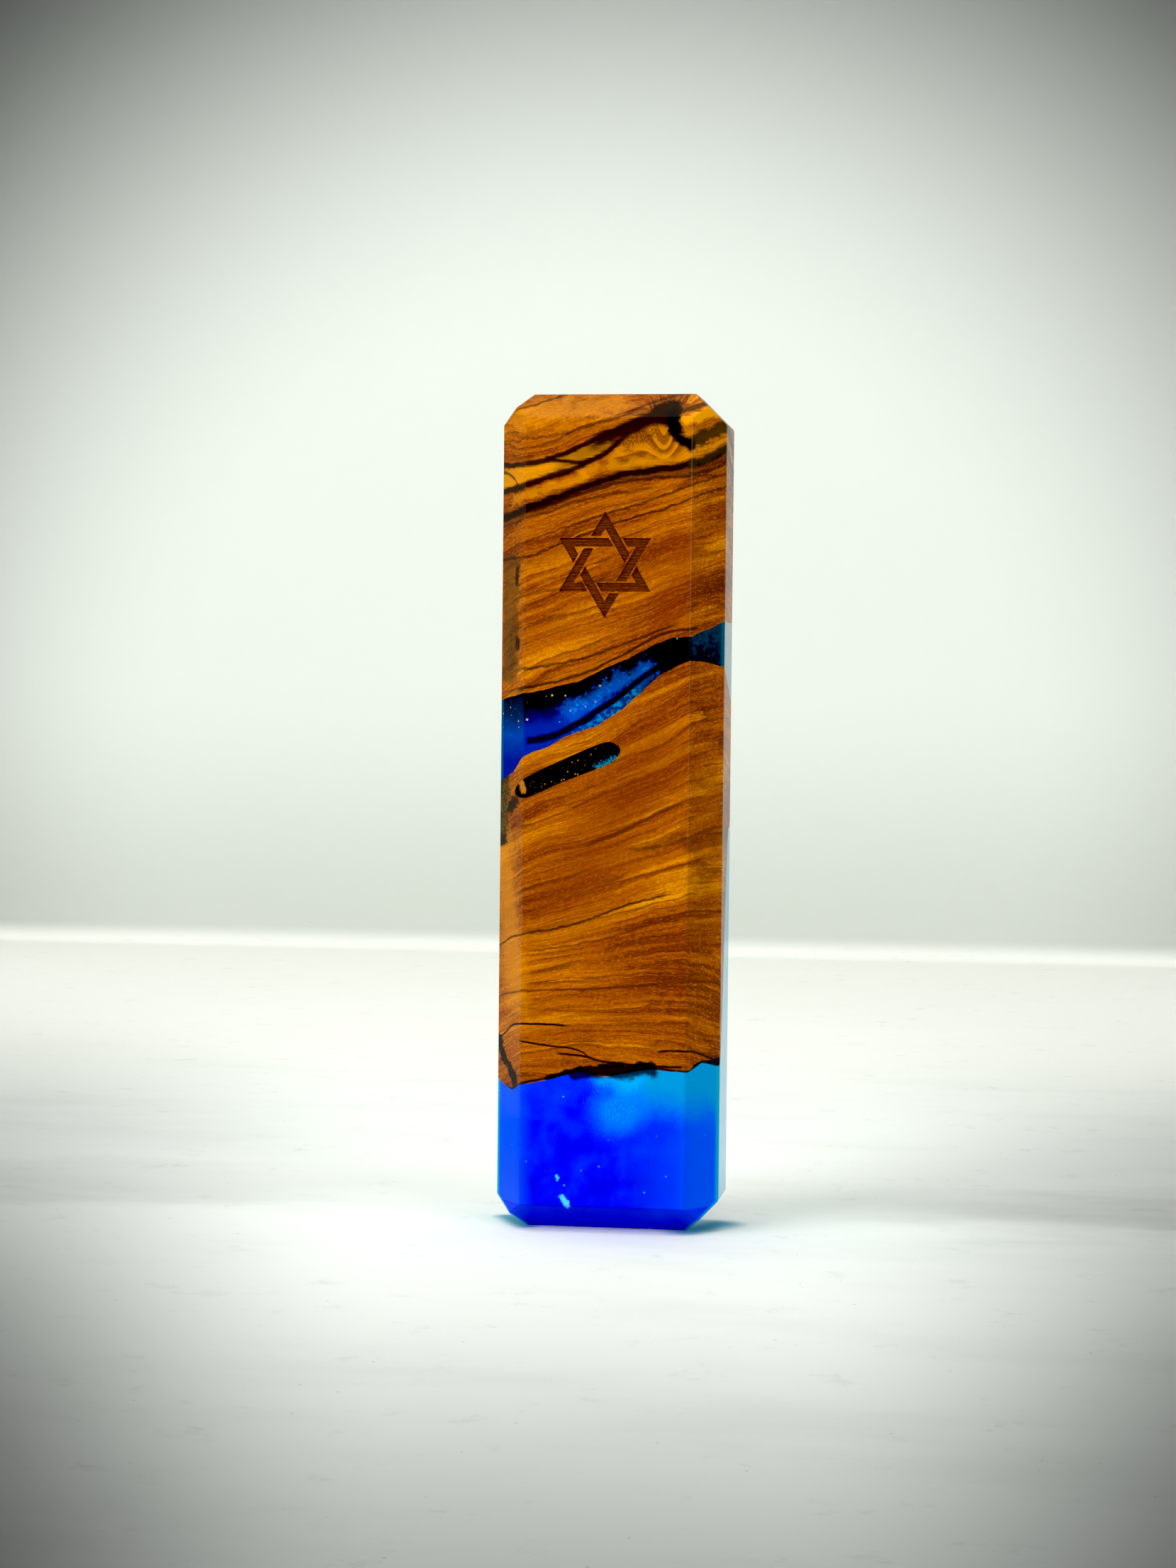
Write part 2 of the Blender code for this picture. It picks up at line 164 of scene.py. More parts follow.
class Recipe:
    """One material's or world's node tree, built by expressions on Val."""

    def __init__(self, name: str, world: bool = False) -> None:
        """Starts an empty material, or an empty world, of that name."""
        self.owner = (bpy.data.worlds if world else bpy.data.materials).new(name)
        self.owner.use_nodes = True
        self.tree = self.owner.node_tree
        self.tree.nodes.clear()

    def node(self, kind: str, settings: dict[str, Any] | None = None,
             sockets: dict[str | int, Any] | None = None) -> bpy.types.Node:
        """Adds a node.

        Args:
            kind: Blender's type name of the node.
            settings: The node's own settings, set first. "stops" fills a ramp and "points" a curve.
            sockets: Values or links of its input sockets, by name or number.

        Returns:
            The node.
        """
        made = self.tree.nodes.new(kind)
        for key, value in (settings or {}).items():
            if key == "stops":
                self._fill_ramp(made.color_ramp, value)
            elif key == "points":
                self._fill_curve(made.mapping, value)
            else:
                setattr(made, key, value)
        for key, value in (sockets or {}).items():
            self._plug(made.inputs[key], value)
        return made

    def read(self, kind: str, output: str | int, sockets: dict[str | int, Any] | None = None,
             settings: dict[str, Any] | None = None) -> Val:
        """Adds a node, as node does, and gives its output of that name or number."""
        return Val(self, self.node(kind, settings, sockets).outputs[output])

    def _plug(self, socket: bpy.types.NodeSocket, value: Any) -> None:
        """Links a Val to the socket, or sets a number, vector or colour on it."""
        if isinstance(value, Val):
            self.tree.links.new(value.socket, socket)
        elif socket.type == "RGBA":
            socket.default_value = (*value, 1.0)
        else:
            socket.default_value = value

    @staticmethod
    def _fill_ramp(ramp: bpy.types.ColorRamp, stops: Sequence[tuple[float, Colour]]) -> None:
        """Gives a ramp these (place, colour) stops."""
        while len(ramp.elements) < len(stops):
            ramp.elements.new(1.0)
        for element, (place, colour) in zip(ramp.elements, stops):
            element.position = place
            element.color = (*colour, 1.0)

    @staticmethod
    def _fill_curve(mapping: bpy.types.CurveMapping, points: Points) -> None:
        """Gives a curve these points, joined smoothly by automatic handles."""
        curve = mapping.curves[0]
        while len(curve.points) < len(points):
            curve.points.new(1.0, 1.0)
        for point, place in zip(curve.points, points):
            point.location = place
            point.handle_type = "AUTO"
        mapping.update()

    def math(self, operation: str, *values: "Val | float") -> Val:
        """One Math node on the values."""
        return self.read("ShaderNodeMath", 0, dict(enumerate(values)), {"operation": operation})

    def blend(self, factor: "Val | float", first: "Val | Colour", second: "Val | Colour") -> Val:
        """Mixes two colours; the factor is the share of the second."""
        return self.read("ShaderNodeMix", 2, {0: factor, 6: first, 7: second}, {"data_type": "RGBA"})

    def ramp(self, value: Val, stops: Sequence[tuple[float, Colour]]) -> Val:
        """The colour that a ramp of (place, colour) stops has at the value."""
        return self.read("ShaderNodeValToRGB", "Color", {"Fac": value}, {"stops": stops})

    def curve(self, value: Val, points: Points) -> Val:
        """The height of a smooth line through the points at that value.

        Args:
            value: Where to read the line.
            points: (place, height) points, in rising order of place.

        Returns:
            The height, in the points' own units.
        """
        places, heights = np.array(points, float).T
        low, span = heights.min(), max(np.ptp(heights), 1e-6)
        start, length = places[0], places[-1] - places[0]
        scaled = list(zip((places - start) / length, (heights - low) / span))
        share = {"Value": (value - start) / length}
        line = self.read("ShaderNodeFloatCurve", "Value", share, {"points": scaled})
        return line * float(span) + float(low)

    def vector(self, x: "Val | float", y: "Val | float", z: "Val | float") -> Val:
        """A vector from three values."""
        return self.read("ShaderNodeCombineXYZ", 0, {0: x, 1: y, 2: z})

    def millimetres(self) -> tuple[Val, Val, Val]:
        """Across, along Y and height of the shaded point in the shared frame, in millimetres."""
        place = self.read("ShaderNodeTexCoord", "Object")
        split = self.node("ShaderNodeSeparateXYZ", None, {0: place})
        return tuple(Val(self, output) / MM for output in split.outputs)

    def noise(self, vector: Val, scale: float = 1.0, detail: float = 2.0, roughness: float = 0.5) -> Val:
        """Cloudy noise of about 0.3 to 0.7 round a middle of 0.5.

        Args:
            vector: Where to read it.
            scale: How many clouds in one unit of the vector.
            detail: How many finer layers it has.
            roughness: How strong the finer layers are.

        Returns:
            The noise.
        """
        return self.read("ShaderNodeTexNoise", "Fac", {
            "Vector": vector, "Scale": scale, "Detail": detail, "Roughness": roughness})

    def drawn(self, place: tuple[Val, Val, Val], rates: tuple[float, float, float], detail: float = 2.0,
              roughness: float = 0.5) -> Val:
        """Noise drawn out along the directions whose rates are low: each part of the place times its rate.

        Args:
            place: Where to read it, as three values in millimetres.
            rates: Clouds in a millimetre along each.
            detail: How many finer layers it has.
            roughness: How strong the finer layers are.

        Returns:
            The noise.
        """
        parts = [value * rate for value, rate in zip(place, rates)]
        return self.noise(self.vector(*parts), 1.0, detail, roughness)

    def growth(self, value: Val, start: float, peak: float, end: float) -> Val:
        """One line in every unit of the value, as a year's growth leaves it.

        Args:
            value: What is counted off in units.
            start: Where in the unit the line starts, 0 to 1.
            peak: Where it is full.
            end: Where it starts to fall to nothing, which it is at the unit's end.

        Returns:
            A mask that is 1 in the line.
        """
        share = self.math("FRACT", value)
        return share.rise(start, peak) * share.rise(1.0, end)

    def specks(self, vector: Val, per_unit: float, size: float, share: float) -> Val:
        """Small round specks, scattered one to a cell, with only a share of the cells filled.

        Args:
            vector: Where to read them.
            per_unit: Cells in one unit of the vector.
            size: Radius of a speck, as a share of a cell.
            share: Share of the cells that hold a speck.

        Returns:
            A mask that is 1 in a speck.
        """
        cells = self.node("ShaderNodeTexVoronoi", None, {"Vector": vector, "Scale": per_unit})
        draw = self.node("ShaderNodeSeparateColor", None, {0: Val(self, cells.outputs["Color"])})
        chosen = Val(self, draw.outputs[0]).rise(1 - share, 1 - share + 0.01)
        radius = size * (0.4 + Val(self, draw.outputs[1]))
        return (radius - Val(self, cells.outputs["Distance"])).rise(0.0, size * 0.3) * chosen

    def bump(self, height: Val, distance: float, strength: float = 1.0) -> Val:
        """A normal bent by a height field; distance is metres for a height of 1."""
        sockets = {"Height": height, "Distance": distance, "Strength": strength}
        return self.read("ShaderNodeBump", "Normal", sockets)

    def show(self, surface: bpy.types.Node, output: str = "ShaderNodeOutputMaterial") -> None:
        """Links a surface or a background to a new output node."""
        self.tree.links.new(surface.outputs[0], self.node(output).inputs["Surface"])

    def finish(self, **sockets: Any) -> bpy.types.Material:
        """Closes the tree with a Principled surface; underscores in the names stand for spaces."""
        named = {key.replace("_", " "): value for key, value in sockets.items()}
        self.show(self.node("ShaderNodeBsdfPrincipled", None, named))
        return self.owner


class Coats:
    """Colours laid one over another, each where its mask is."""

    def __init__(self, recipe: Recipe, ground: "Val | Colour") -> None:
        """Keeps the recipe and starts with the ground colour."""
        self.recipe = recipe
        self.colour = ground

    def lay(self, mask: "Val | float", colour: "Val | Colour") -> None:
        """Lays a colour over the others by the mask's share."""
        self.colour = self.recipe.blend(mask, self.colour, colour)


def near_segment(recipe: Recipe, across: Val, height: Val, start: tuple[float, float],
                 end: tuple[float, float]) -> Val:
    """Distance of the shaded point from a straight line between two points.

    The share along the line is the dot product with it, held between 0 and 1.

    Args:
        recipe: The material being built.
        across: The point's place across.
        height: The point's height.
        start: One end of the line, (across, height).
        end: The other end.

    Returns:
        The distance.
    """
    run, climb = end[0] - start[0], end[1] - start[1]
    from_x, from_z = across - start[0], height - start[1]
    share = ((from_x * run + from_z * climb) / (run * run + climb * climb + 1e-9)).at_least(0).at_most(1)
    off_x, off_z = from_x - share * run, from_z - share * climb
    return (off_x * off_x + off_z * off_z) ** 0.5


# --- Mesh toolkit ---


class Cut(Enum):
    """What a cutter does to a piece."""

    AWAY = "DIFFERENCE"
    WITHIN = "INTERSECT"


def link(name: str, mesh: bpy.types.Mesh) -> bpy.types.Object:
    """An object at the origin that shows the mesh."""
    made = bpy.data.objects.new(name, mesh)
    bpy.context.scene.collection.objects.link(made)
    return made


def loft(name: str, rings: np.ndarray, closed_path: bool = False) -> bpy.types.Object:
    """A closed solid from a ring of points carried along a path.

    Point (i, j) is point j of ring i. Each face joins two neighbours on one ring to the same two on the
    next, and unless the path closes on itself the first and last ring become end faces.

    Args:
        name: Name of the object.
        rings: Array of rings by points by 3, in metres.
        closed_path: Whether the last ring joins the first.

    Returns:
        The object, with its faces pointing outwards.
    """
    count, size = rings.shape[:2]
    index = np.arange(count * size).reshape(count, size)
    after = np.roll(index, -1, axis=0) if closed_path else index[1:]
    before = index if closed_path else index[:-1]
    beside = [np.roll(rows, -1, axis=1) for rows in (before, after)]
    faces = np.stack([before, beside[0], beside[1], after], axis=-1).reshape(-1, 4).tolist()
    if not closed_path:
        faces += [index[0, ::-1].tolist(), index[-1].tolist()]
    mesh = bpy.data.meshes.new(name)
    mesh.from_pydata(rings.reshape(-1, 3).tolist(), [], faces)
    shape = bmesh.new()
    shape.from_mesh(mesh)
    bmesh.ops.remove_doubles(shape, verts=shape.verts, dist=1e-7)
    bmesh.ops.dissolve_degenerate(shape, edges=shape.edges, dist=1e-7)
    bmesh.ops.recalc_face_normals(shape, faces=shape.faces)
    shape.to_mesh(mesh)
    shape.free()
    return link(name, mesh)


def settle(piece: bpy.types.Object) -> None:
    """Applies the piece's modifiers to its mesh."""
    graph = bpy.context.evaluated_depsgraph_get()
    mesh = bpy.data.meshes.new_from_object(piece.evaluated_get(graph))
    before = piece.data
    piece.modifiers.clear()
    piece.data = mesh
    bpy.data.meshes.remove(before)
    mesh.name = piece.name


def carve(piece: bpy.types.Object, cutter: bpy.types.Object, cut: Cut) -> None:
    """Cuts the piece and applies the cut. Cut faces take the cutter's material where it has one.

    Args:
        piece: What is cut.
        cutter: The closed solid that cuts; it is used up.
        cut: Whether the cutter takes away or keeps what it covers.
    """
    modifier = piece.modifiers.new("cut", "BOOLEAN")
    modifier.operation = cut.value
    modifier.object = cutter
    modifier.solver = "EXACT"
    if cutter.data.materials:
        modifier.material_mode = "TRANSFER"
    settle(piece)
    bpy.data.objects.remove(cutter)


def ease_edges(piece: bpy.types.Object, width: float, segments: int = 3, flat: float = 10.0) -> None:
    """Rounds the piece's edges and applies it.

    Args:
        piece: The piece.
        width: Width of the rounding.
        segments: Faces across it.
        flat: Edges of no more than this many degrees stay as they are.
    """
    shape = bmesh.new()
    shape.from_mesh(piece.data)
    bmesh.ops.dissolve_limit(shape, angle_limit=0.005, verts=shape.verts, edges=shape.edges)
    shape.to_mesh(piece.data)
    shape.free()
    modifier = piece.modifiers.new("eased", "BEVEL")
    modifier.width = width
    modifier.segments = segments
    modifier.limit_method = "ANGLE"
    modifier.angle_limit = math.radians(flat)
    settle(piece)


def smooth(piece: bpy.types.Object, angle: float) -> None:
    """Shades the piece smooth, with edges sharper than the angle (degrees) kept crisp.

    Large faces set the direction of the shading at their corners, so flats stay flat.

    Args:
        piece: The piece.
        angle: The sharpest edge, in degrees, that is shaded smooth.
    """
    piece.data.polygons.foreach_set("use_smooth", np.ones(len(piece.data.polygons), bool))
    piece.data.set_sharp_from_angle(angle=math.radians(angle))
    weighted = piece.modifiers.new("weighted", "WEIGHTED_NORMAL")
    weighted.keep_sharp = True
    weighted.weight = 100


def present(piece: bpy.types.Object, material: bpy.types.Material, node: str, body: str, slot: str,
            angle: float = 32.0) -> bpy.types.Object:
    """Dresses a finished piece, puts it on its body and reports it.

    Args:
        piece: The piece, in place.
        material: Its main finish.
        node: The CAD node that it stands for, or "" for an extra piece.
        body: The CAD body that it rides on.
        slot: The record's material slot.
        angle: Edges sharper than this, in degrees, are shaded crisp.

    Returns:
        The piece.
    """
    if not piece.data.materials:
        piece.data.materials.append(material)
    else:
        piece.data.materials[0] = material
    smooth(piece, angle)
    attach(piece, body)
    if node:
        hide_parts(node)
    LOG.info("%s: %d faces, rides on %s, slot %s", piece.name, len(piece.data.polygons), body, slot)
    return piece


def middle_of(node: str) -> tuple[float, float]:
    """The (x, z) of a CAD node's middle; the back's nodes all stand on the middle line."""
    low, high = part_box(node)
    return 0.0, (low.z + high.z) / 2


def rounded_rectangle(width: float, height: float, radius: float, steps: int = 8) -> np.ndarray:
    """Outline of a rectangle round the origin with quarter circles for corners.

    Point at angle a is the nearest corner's centre plus the radius in the direction of a.

    Args:
        width: Full width.
        height: Full height.
        radius: Corner radius.
        steps: Points in each corner, less one.

    Returns:
        Array of points by 2.
    """
    quarter = np.linspace(0, math.pi / 2, steps + 1)
    angles = (quarter + np.arange(4)[:, None] * math.pi / 2).ravel()
    signs = np.repeat(np.array([(1, 1), (-1, 1), (-1, -1), (1, -1)]), steps + 1, axis=0)
    centres = signs * (np.array([width, height]) / 2 - radius)
    return centres + radius * np.stack([np.cos(angles), np.sin(angles)], axis=1)


def closed_curve(points: Points, steps: int) -> np.ndarray:
    """A smooth closed line through the points.

    Between two points it is the cubic whose slope at each point is half the step between that
    point's two neighbours.

    Args:
        points: The points, in order.
        steps: Points on each stretch.

    Returns:
        Array of points by 2.
    """
    given = np.array(points, float)
    slopes = (np.roll(given, -1, axis=0) - np.roll(given, 1, axis=0)) / 2
    t = np.linspace(0, 1, steps, endpoint=False)[None, :, None]
    start, end = given[:, None], np.roll(given, -1, axis=0)[:, None]
    leave, arrive = slopes[:, None], np.roll(slopes, -1, axis=0)[:, None]
    path = ((2 * t**3 - 3 * t**2 + 1) * start + (t**3 - 2 * t**2 + t) * leave
            + (3 * t**2 - 2 * t**3) * end + (t**3 - t**2) * arrive)
    return path.reshape(-1, 2)


def prism(name: str, outline: np.ndarray, depths: Sequence[float],
          insets: Sequence[float] | None = None, centre: tuple[float, float] = (0, 0)) -> bpy.types.Object:
    """An outline in the front plane carried along Y, drawn in by an inset at each depth.

    Args:
        name: Name of the object.
        outline: Points by (across, height), in metres.
        depths: Y of each ring.
        insets: How far each ring is drawn in towards the middle, along both axes.
        centre: Where the outline's origin goes, (x, z).

    Returns:
        The solid.
    """
    half = np.abs(outline).max(axis=0)
    scales = 1 - np.outer(insets if insets is not None else np.zeros(len(depths)), 1 / half)
    across = outline[None, :, 0] * scales[:, :1] + centre[0]
    height = outline[None, :, 1] * scales[:, 1:] + centre[1]
    along = np.broadcast_to(np.array(depths, float)[:, None], across.shape)
    return loft(name, np.stack([across, along, height], axis=-1))


def turned(name: str, profile: Points, centre: tuple[float, float], steps: int = 48,
           radius_at: Callable[[np.ndarray, np.ndarray, np.ndarray], np.ndarray] | None = None,
           ) -> bpy.types.Object:
    """A profile turned round an axis along Y.

    Point (i, j) is at angle 2 pi j / steps and at the profile's point i.

    Args:
        name: Name of the object.
        profile: (radius, y) points from one end to the other.
        centre: (x, z) of the axis.
        steps: Points round the axis.
        radius_at: Changes the radii, given radius, y and angle as whole arrays.

    Returns:
        The solid.
    """
    radius, along = np.array(profile, float).T
    angle = np.linspace(0, FULL_TURN, steps, endpoint=False)[None, :]
    radius, along = np.broadcast_arrays(radius[:, None], along[:, None] + 0 * angle)
    if radius_at:
        radius = radius_at(radius, along, angle)
    points = [centre[0] + radius * np.cos(angle), along, centre[1] + radius * np.sin(angle)]
    return loft(name, np.stack(points, axis=-1))


def ripple(across: np.ndarray, depth: np.ndarray, seed: int, height: float) -> np.ndarray:
    """An uneven surface: the sum of sine waves in all directions, each shorter one lower.

    Args:
        across: Places across, in metres.
        depth: Places in depth, in metres.
        seed: Picks the waves' directions and phases.
        height: Height of the longest wave.

    Returns:
        The surface's height at each place.
    """
    draw = np.random.default_rng(seed)
    total = np.zeros(np.broadcast(across, depth).shape)
    for length in (0.0061, 0.0037, 0.0021, 0.0013, 0.0008):
        turn, phase = draw.uniform(0, FULL_TURN, 2)
        wave = (across * math.cos(turn) + depth * math.sin(turn)) / length * FULL_TURN + phase
        total += np.sin(wave) * height * (length / 0.0061) ** 0.9
    return total


# --- Finishes ---

DARK = paint(34, 16, 5)
BLACK = paint(12, 9, 6)
RUSSET = paint(80, 34, 4)
GOLDEN = paint(216, 138, 12)
AMBER = paint(228, 150, 12)

# A streak that reaches this far across, in millimetres, runs on round the side and doesn't fade out.
THROUGH = 17.0


@dataclass(frozen=True)
class Streak:
    """A dark mineral line in the wood, as (across, height) points along the front, in millimetres.

    Attributes:
        points: The line's course.
        width: Half its width.
        strength: How dark it is, 0 to 1.
        ragged: How far it wanders from its course.
        fade: How long its ends take to fade out.
        colour: Its colour.
    """

    points: Points
    width: float
    strength: float
    ragged: float
    fade: float = 1.5
    colour: Colour = DARK


@dataclass(frozen=True)
class Blot:
    """A patch of colour round a line between two (across, height) points, in millimetres.

    Attributes:
        start: One end of the line.
        end: The other end.
        radius: How far the patch reaches from the line.
        colour: Its colour.
        strength: How much it covers, 0 to 1.
        ragged: How uneven its edge is.
        soft: Width of its edge, as a share of the radius.
        flecked: Whether it is broken up into flecks.
    """

    start: tuple[float, float]
    end: tuple[float, float]
    radius: float
    colour: Colour
    strength: float
    ragged: float
    soft: float
    flecked: bool = False


@dataclass(frozen=True)
class OliveWood:
    """Olive wood under a clear satin lacquer: level lower down, rising to the right further up.

    The grain is a field whose value is the height at which the grain through a point meets the middle
    of the front. Stretched noise on that field gives bands, layers, fibres and pores.

    Attributes:
        name: The material's name.
        patches: Its lighter and darker patches, under the lines.
        streaks: Its dark lines.
        blots: Its knots and bark, over the lines.
        knot: Centre of the knot that the grain bends round, or None.
        slope: How steeply the grain rises to the right, by (height, rise per millimetre).
        fall: How steeply it falls towards the back, by (height, fall per millimetre).
    """

    name: str
    patches: tuple[Blot, ...]
    streaks: tuple[Streak, ...]
    blots: tuple[Blot, ...]
    knot: tuple[float, float] | None = None

    slope: Points = ((0, 0.0), (25, 0.03), (38, 0.09), (47, 0.25), (62, 0.40), (78, 0.44), (92, 0.36),
                     (108, 0.31), (130, 0.29))
    fall: Points = ((0, 0.62), (31, 0.55), (38, 0.43), (48, 0.25), (80, 0.10), (100, 0.0), (130, -0.2))

    def grain(self, recipe: Recipe, across: Val, depth: Val, height: Val) -> Val:
        """The grain field; under the knot, where there is one, the grain hangs in U-shaped loops."""
        place = recipe.vector(across, depth, height)
        wander = recipe.noise(place, 1 / 21, 1) - 0.5
        waver = recipe.noise(place, 1 / 6, 2) - 0.5
        field = height - recipe.curve(height, self.slope) * across + recipe.curve(height, self.fall) * depth
        field = field + 5.0 * wander + 1.1 * waver
        if self.knot is None:
            return field
        aside = (across - self.knot[0]) / 2.4
        pulled = 1.0 / (1.0 + aside * aside)
        return field + 7.0 * pulled * pulled * (height - self.knot[1]).rise(-10.5, -4.0)

    def build(self, front: float) -> bpy.types.Material:
        """The material.

        Args:
            front: Y of the front face, in metres.

        Returns:
            The material.
        """
        recipe = Recipe(self.name)
        across, along, height = recipe.millimetres()
        depth = along - front / MM
        place = (across, depth, height)
        field = self.grain(recipe, *place)
        along_grain = (across, depth, field)
        bands = recipe.drawn(along_grain, (0.030, 0.06, 0.17))
        layers = recipe.drawn(along_grain, (0.028, 0.10, 1.1), 5, 0.62)
        lines = recipe.drawn(along_grain, (0.05, 0.16, 3.1), 3, 0.58)
        fibres = recipe.drawn(along_grain, (0.62, 1.6, 5.0), 4, 0.68)
        mottle = recipe.drawn(along_grain, (1.9, 2.0, 3.6), 3, 0.7)

        tone = bands * 0.42 + layers * 0.40 + lines * 0.18 + (fibres - 0.5) * 0.26 + (mottle - 0.5) * 0.26
        coats = Coats(recipe, recipe.ramp(tone, (
            (0.36, paint(82, 30, 3)), (0.43, paint(116, 48, 3)), (0.49, paint(148, 73, 3)),
            (0.55, paint(170, 93, 4)), (0.64, paint(208, 132, 9)))))

        where = recipe.noise(recipe.vector(across * 0.05, depth * 0.2, field * 0.33 + 9.0))
        rings = recipe.growth(field * 0.36 + bands * 4.0 + layers * 1.0, 0.62, 0.97, 0.975)
        coats.lay(rings * where.rise(0.40, 0.62) * 0.80, paint(84, 34, 5))
        fine_rings = recipe.growth(field * 1.7 + layers * 5.0, 0.50, 0.95, 0.96)
        coats.lay(fine_rings * where.rise(0.62, 0.42) * 0.45, paint(100, 44, 5))
        glint = recipe.drawn(along_grain, (1.1, 2.0, 8.0), 2, 0.6)
        coats.lay(glint.rise(0.56, 0.70) * 0.40, paint(214, 140, 20))
        coats.lay(lines.rise(0.41, 0.30) * 0.55, paint(92, 38, 5))
        if self.knot is not None:
            under = near_segment(recipe, across, height, (self.knot[0] - 5.5, self.knot[1] - 6.8),
                                 (self.knot[0] + 1.2, self.knot[1] - 4.6))
            zone = (under + (layers - 0.5) * 4).rise(4.6, 1.2)
            coats.lay(zone * 0.50, GOLDEN)
            loops = recipe.growth(field * 0.27 + layers * 1.5, 0.25, 0.85, 0.88)
            coats.lay(zone * loops * 0.80, paint(92, 42, 4))

        self._mark(recipe, coats, place)

        pores = recipe.drawn(along_grain, (1.3, 4.0, 13.0), 1)
        open_pores = pores.rise(0.36, 0.29)
        coats.lay(open_pores * 0.45, paint(84, 40, 8))
        relief = fibres * 0.5 + pores * 0.35 + layers * 0.3
        return recipe.finish(
            Base_Color=coats.colour, Roughness=0.33 + (fibres - 0.5) * 0.25 + open_pores * 0.15,
            Specular_IOR_Level=0.15, Coat_Weight=0.03 + depth.rise(5.8, 6.2) * 0.37, Coat_Roughness=0.22,
            Normal=recipe.bump(relief, 0.00006, 0.6))

    def _mark(self, recipe: Recipe, coats: Coats, place: tuple[Val, Val, Val]) -> None:
        """Lays the patches, then the dark lines, then the knots and bark.

        A streak is where the height is near its line, a blot where the point is near its segment. Both
        are shifted by a coarse jitter and frayed by a fine one, and behind the front's bevels they sink
        with the depth.

        Args:
            recipe: The material being built.
            coats: The wood's colours so far.
            place: Across, depth and height of the shaded point.
        """
        across, depth, height = place
        sunk = height + 0.32 * (depth - 5.9).at_least(0)
        jitter = recipe.drawn(place, (0.45, 0.5, 0.55), 4, 0.62) - 0.5
        frayed = recipe.drawn(place, (0.35, 0.5, 3.5), 3, 0.6)
        fleck = recipe.noise(recipe.vector(*place), 3.4, 3, 0.75).rise(0.44, 0.60)

        def cover(blots: tuple[Blot, ...]) -> None:
            """Lays the blots over the colours so far."""
            for blot in blots:
                off = near_segment(recipe, across, sunk, blot.start, blot.end)
                edge = off + jitter * blot.ragged * 4 + (frayed - 0.5) * blot.ragged
                mask = edge.rise(blot.radius, blot.radius * (1 - blot.soft)) * blot.strength
                coats.lay(mask * fleck if blot.flecked else mask, blot.colour)

        cover(self.patches)
        for streak in self.streaks:
            first, last = streak.points[0][0], streak.points[-1][0]
            off = abs(sunk + jitter * streak.ragged * 3 - recipe.curve(across, streak.points))
            wide = streak.width * (0.25 + 1.5 * frayed)
            mask = (off / wide).rise(1.35, 0.45) * streak.strength
            if first > -THROUGH:
                mask = mask * across.rise(first - streak.fade, first + 0.01)
            if last < THROUGH:
                mask = mask * across.rise(last + streak.fade, last - 0.01)
            coats.lay(mask, streak.colour)
        cover(self.blots)


@dataclass(frozen=True)
class PlainWood:
    """The back cover's straight-grained olive wood, sawn along its length and oiled."""

    name: str = "cover wood"

    def build(self) -> bpy.types.Material:
        """The material: noise stretched along the height, with dark growth lines and fine pores."""
        recipe = Recipe(self.name)
        across, along, height = recipe.millimetres()
        bend = recipe.drawn((across, along, height), (0.03, 0.03, 0.016), 1) - 0.5
        field = across + bend * 16 + along * 0.5
        along_grain = (field, along, height)
        layers = recipe.drawn(along_grain, (0.55, 0.2, 0.012), 4, 0.6)
        fibres = recipe.drawn(along_grain, (5.0, 2.0, 0.22), 3, 0.6)
        coats = Coats(recipe, recipe.ramp(layers * 0.75 + fibres * 0.25, (
            (0.32, paint(122, 70, 22)), (0.46, paint(168, 108, 42)), (0.56, paint(190, 132, 60)),
            (0.68, paint(208, 156, 84)))))
        rings = recipe.growth(field * 0.42 + layers * 2.4, 0.45, 0.95, 0.96)
        coats.lay(rings * 0.6, paint(98, 52, 16))
        pores = recipe.drawn(along_grain, (11.0, 4.0, 0.8), 1)
        coats.lay(pores.rise(0.37, 0.29) * 0.6, paint(80, 44, 16))
        return recipe.finish(
            Base_Color=coats.colour, Roughness=0.46 + (fibres - 0.5) * 0.3, Specular_IOR_Level=0.35,
            Normal=recipe.bump(fibres * 0.6 + pores * 0.4, 0.00008, 0.7))


@dataclass(frozen=True)
class BurntGroove:
    """The floor and walls of the laser-engraved emblem: burnt wood with fine level scan lines.

    Attributes:
        name: The material's name.
        pitch: Height from one scan line to the next, in millimetres.
    """

    name: str = "burnt engraving"
    pitch: float = 0.24

    def build(self) -> bpy.types.Material:
        """The material: sine scan lines of the given pitch, broken up by noise."""
        recipe = Recipe(self.name)
        across, along, height = recipe.millimetres()
        fray = recipe.drawn((across, along, height), (1.1, 1.0, 2.5), 3, 0.6)
        scan = recipe.math("SINE", height * (FULL_TURN / self.pitch) + fray * 3.0) * 0.5 + 0.5
        colour = recipe.ramp(scan * 0.5 + fray * 0.5, (
            (0.22, paint(38, 15, 4)), (0.45, paint(74, 30, 5)), (0.60, paint(104, 46, 7)),
            (0.78, paint(146, 74, 12))))
        return recipe.finish(Base_Color=colour, Roughness=0.62 + (fray - 0.5) * 0.2,
                             Specular_IOR_Level=0.25, Normal=recipe.bump(scan, 0.00005, 0.8))


class ResinPart(Enum):
    """Which casting a resin colours."""

    VEIN = "resin vein"
    BASE = "resin base"
    SLOT = "resin slot"


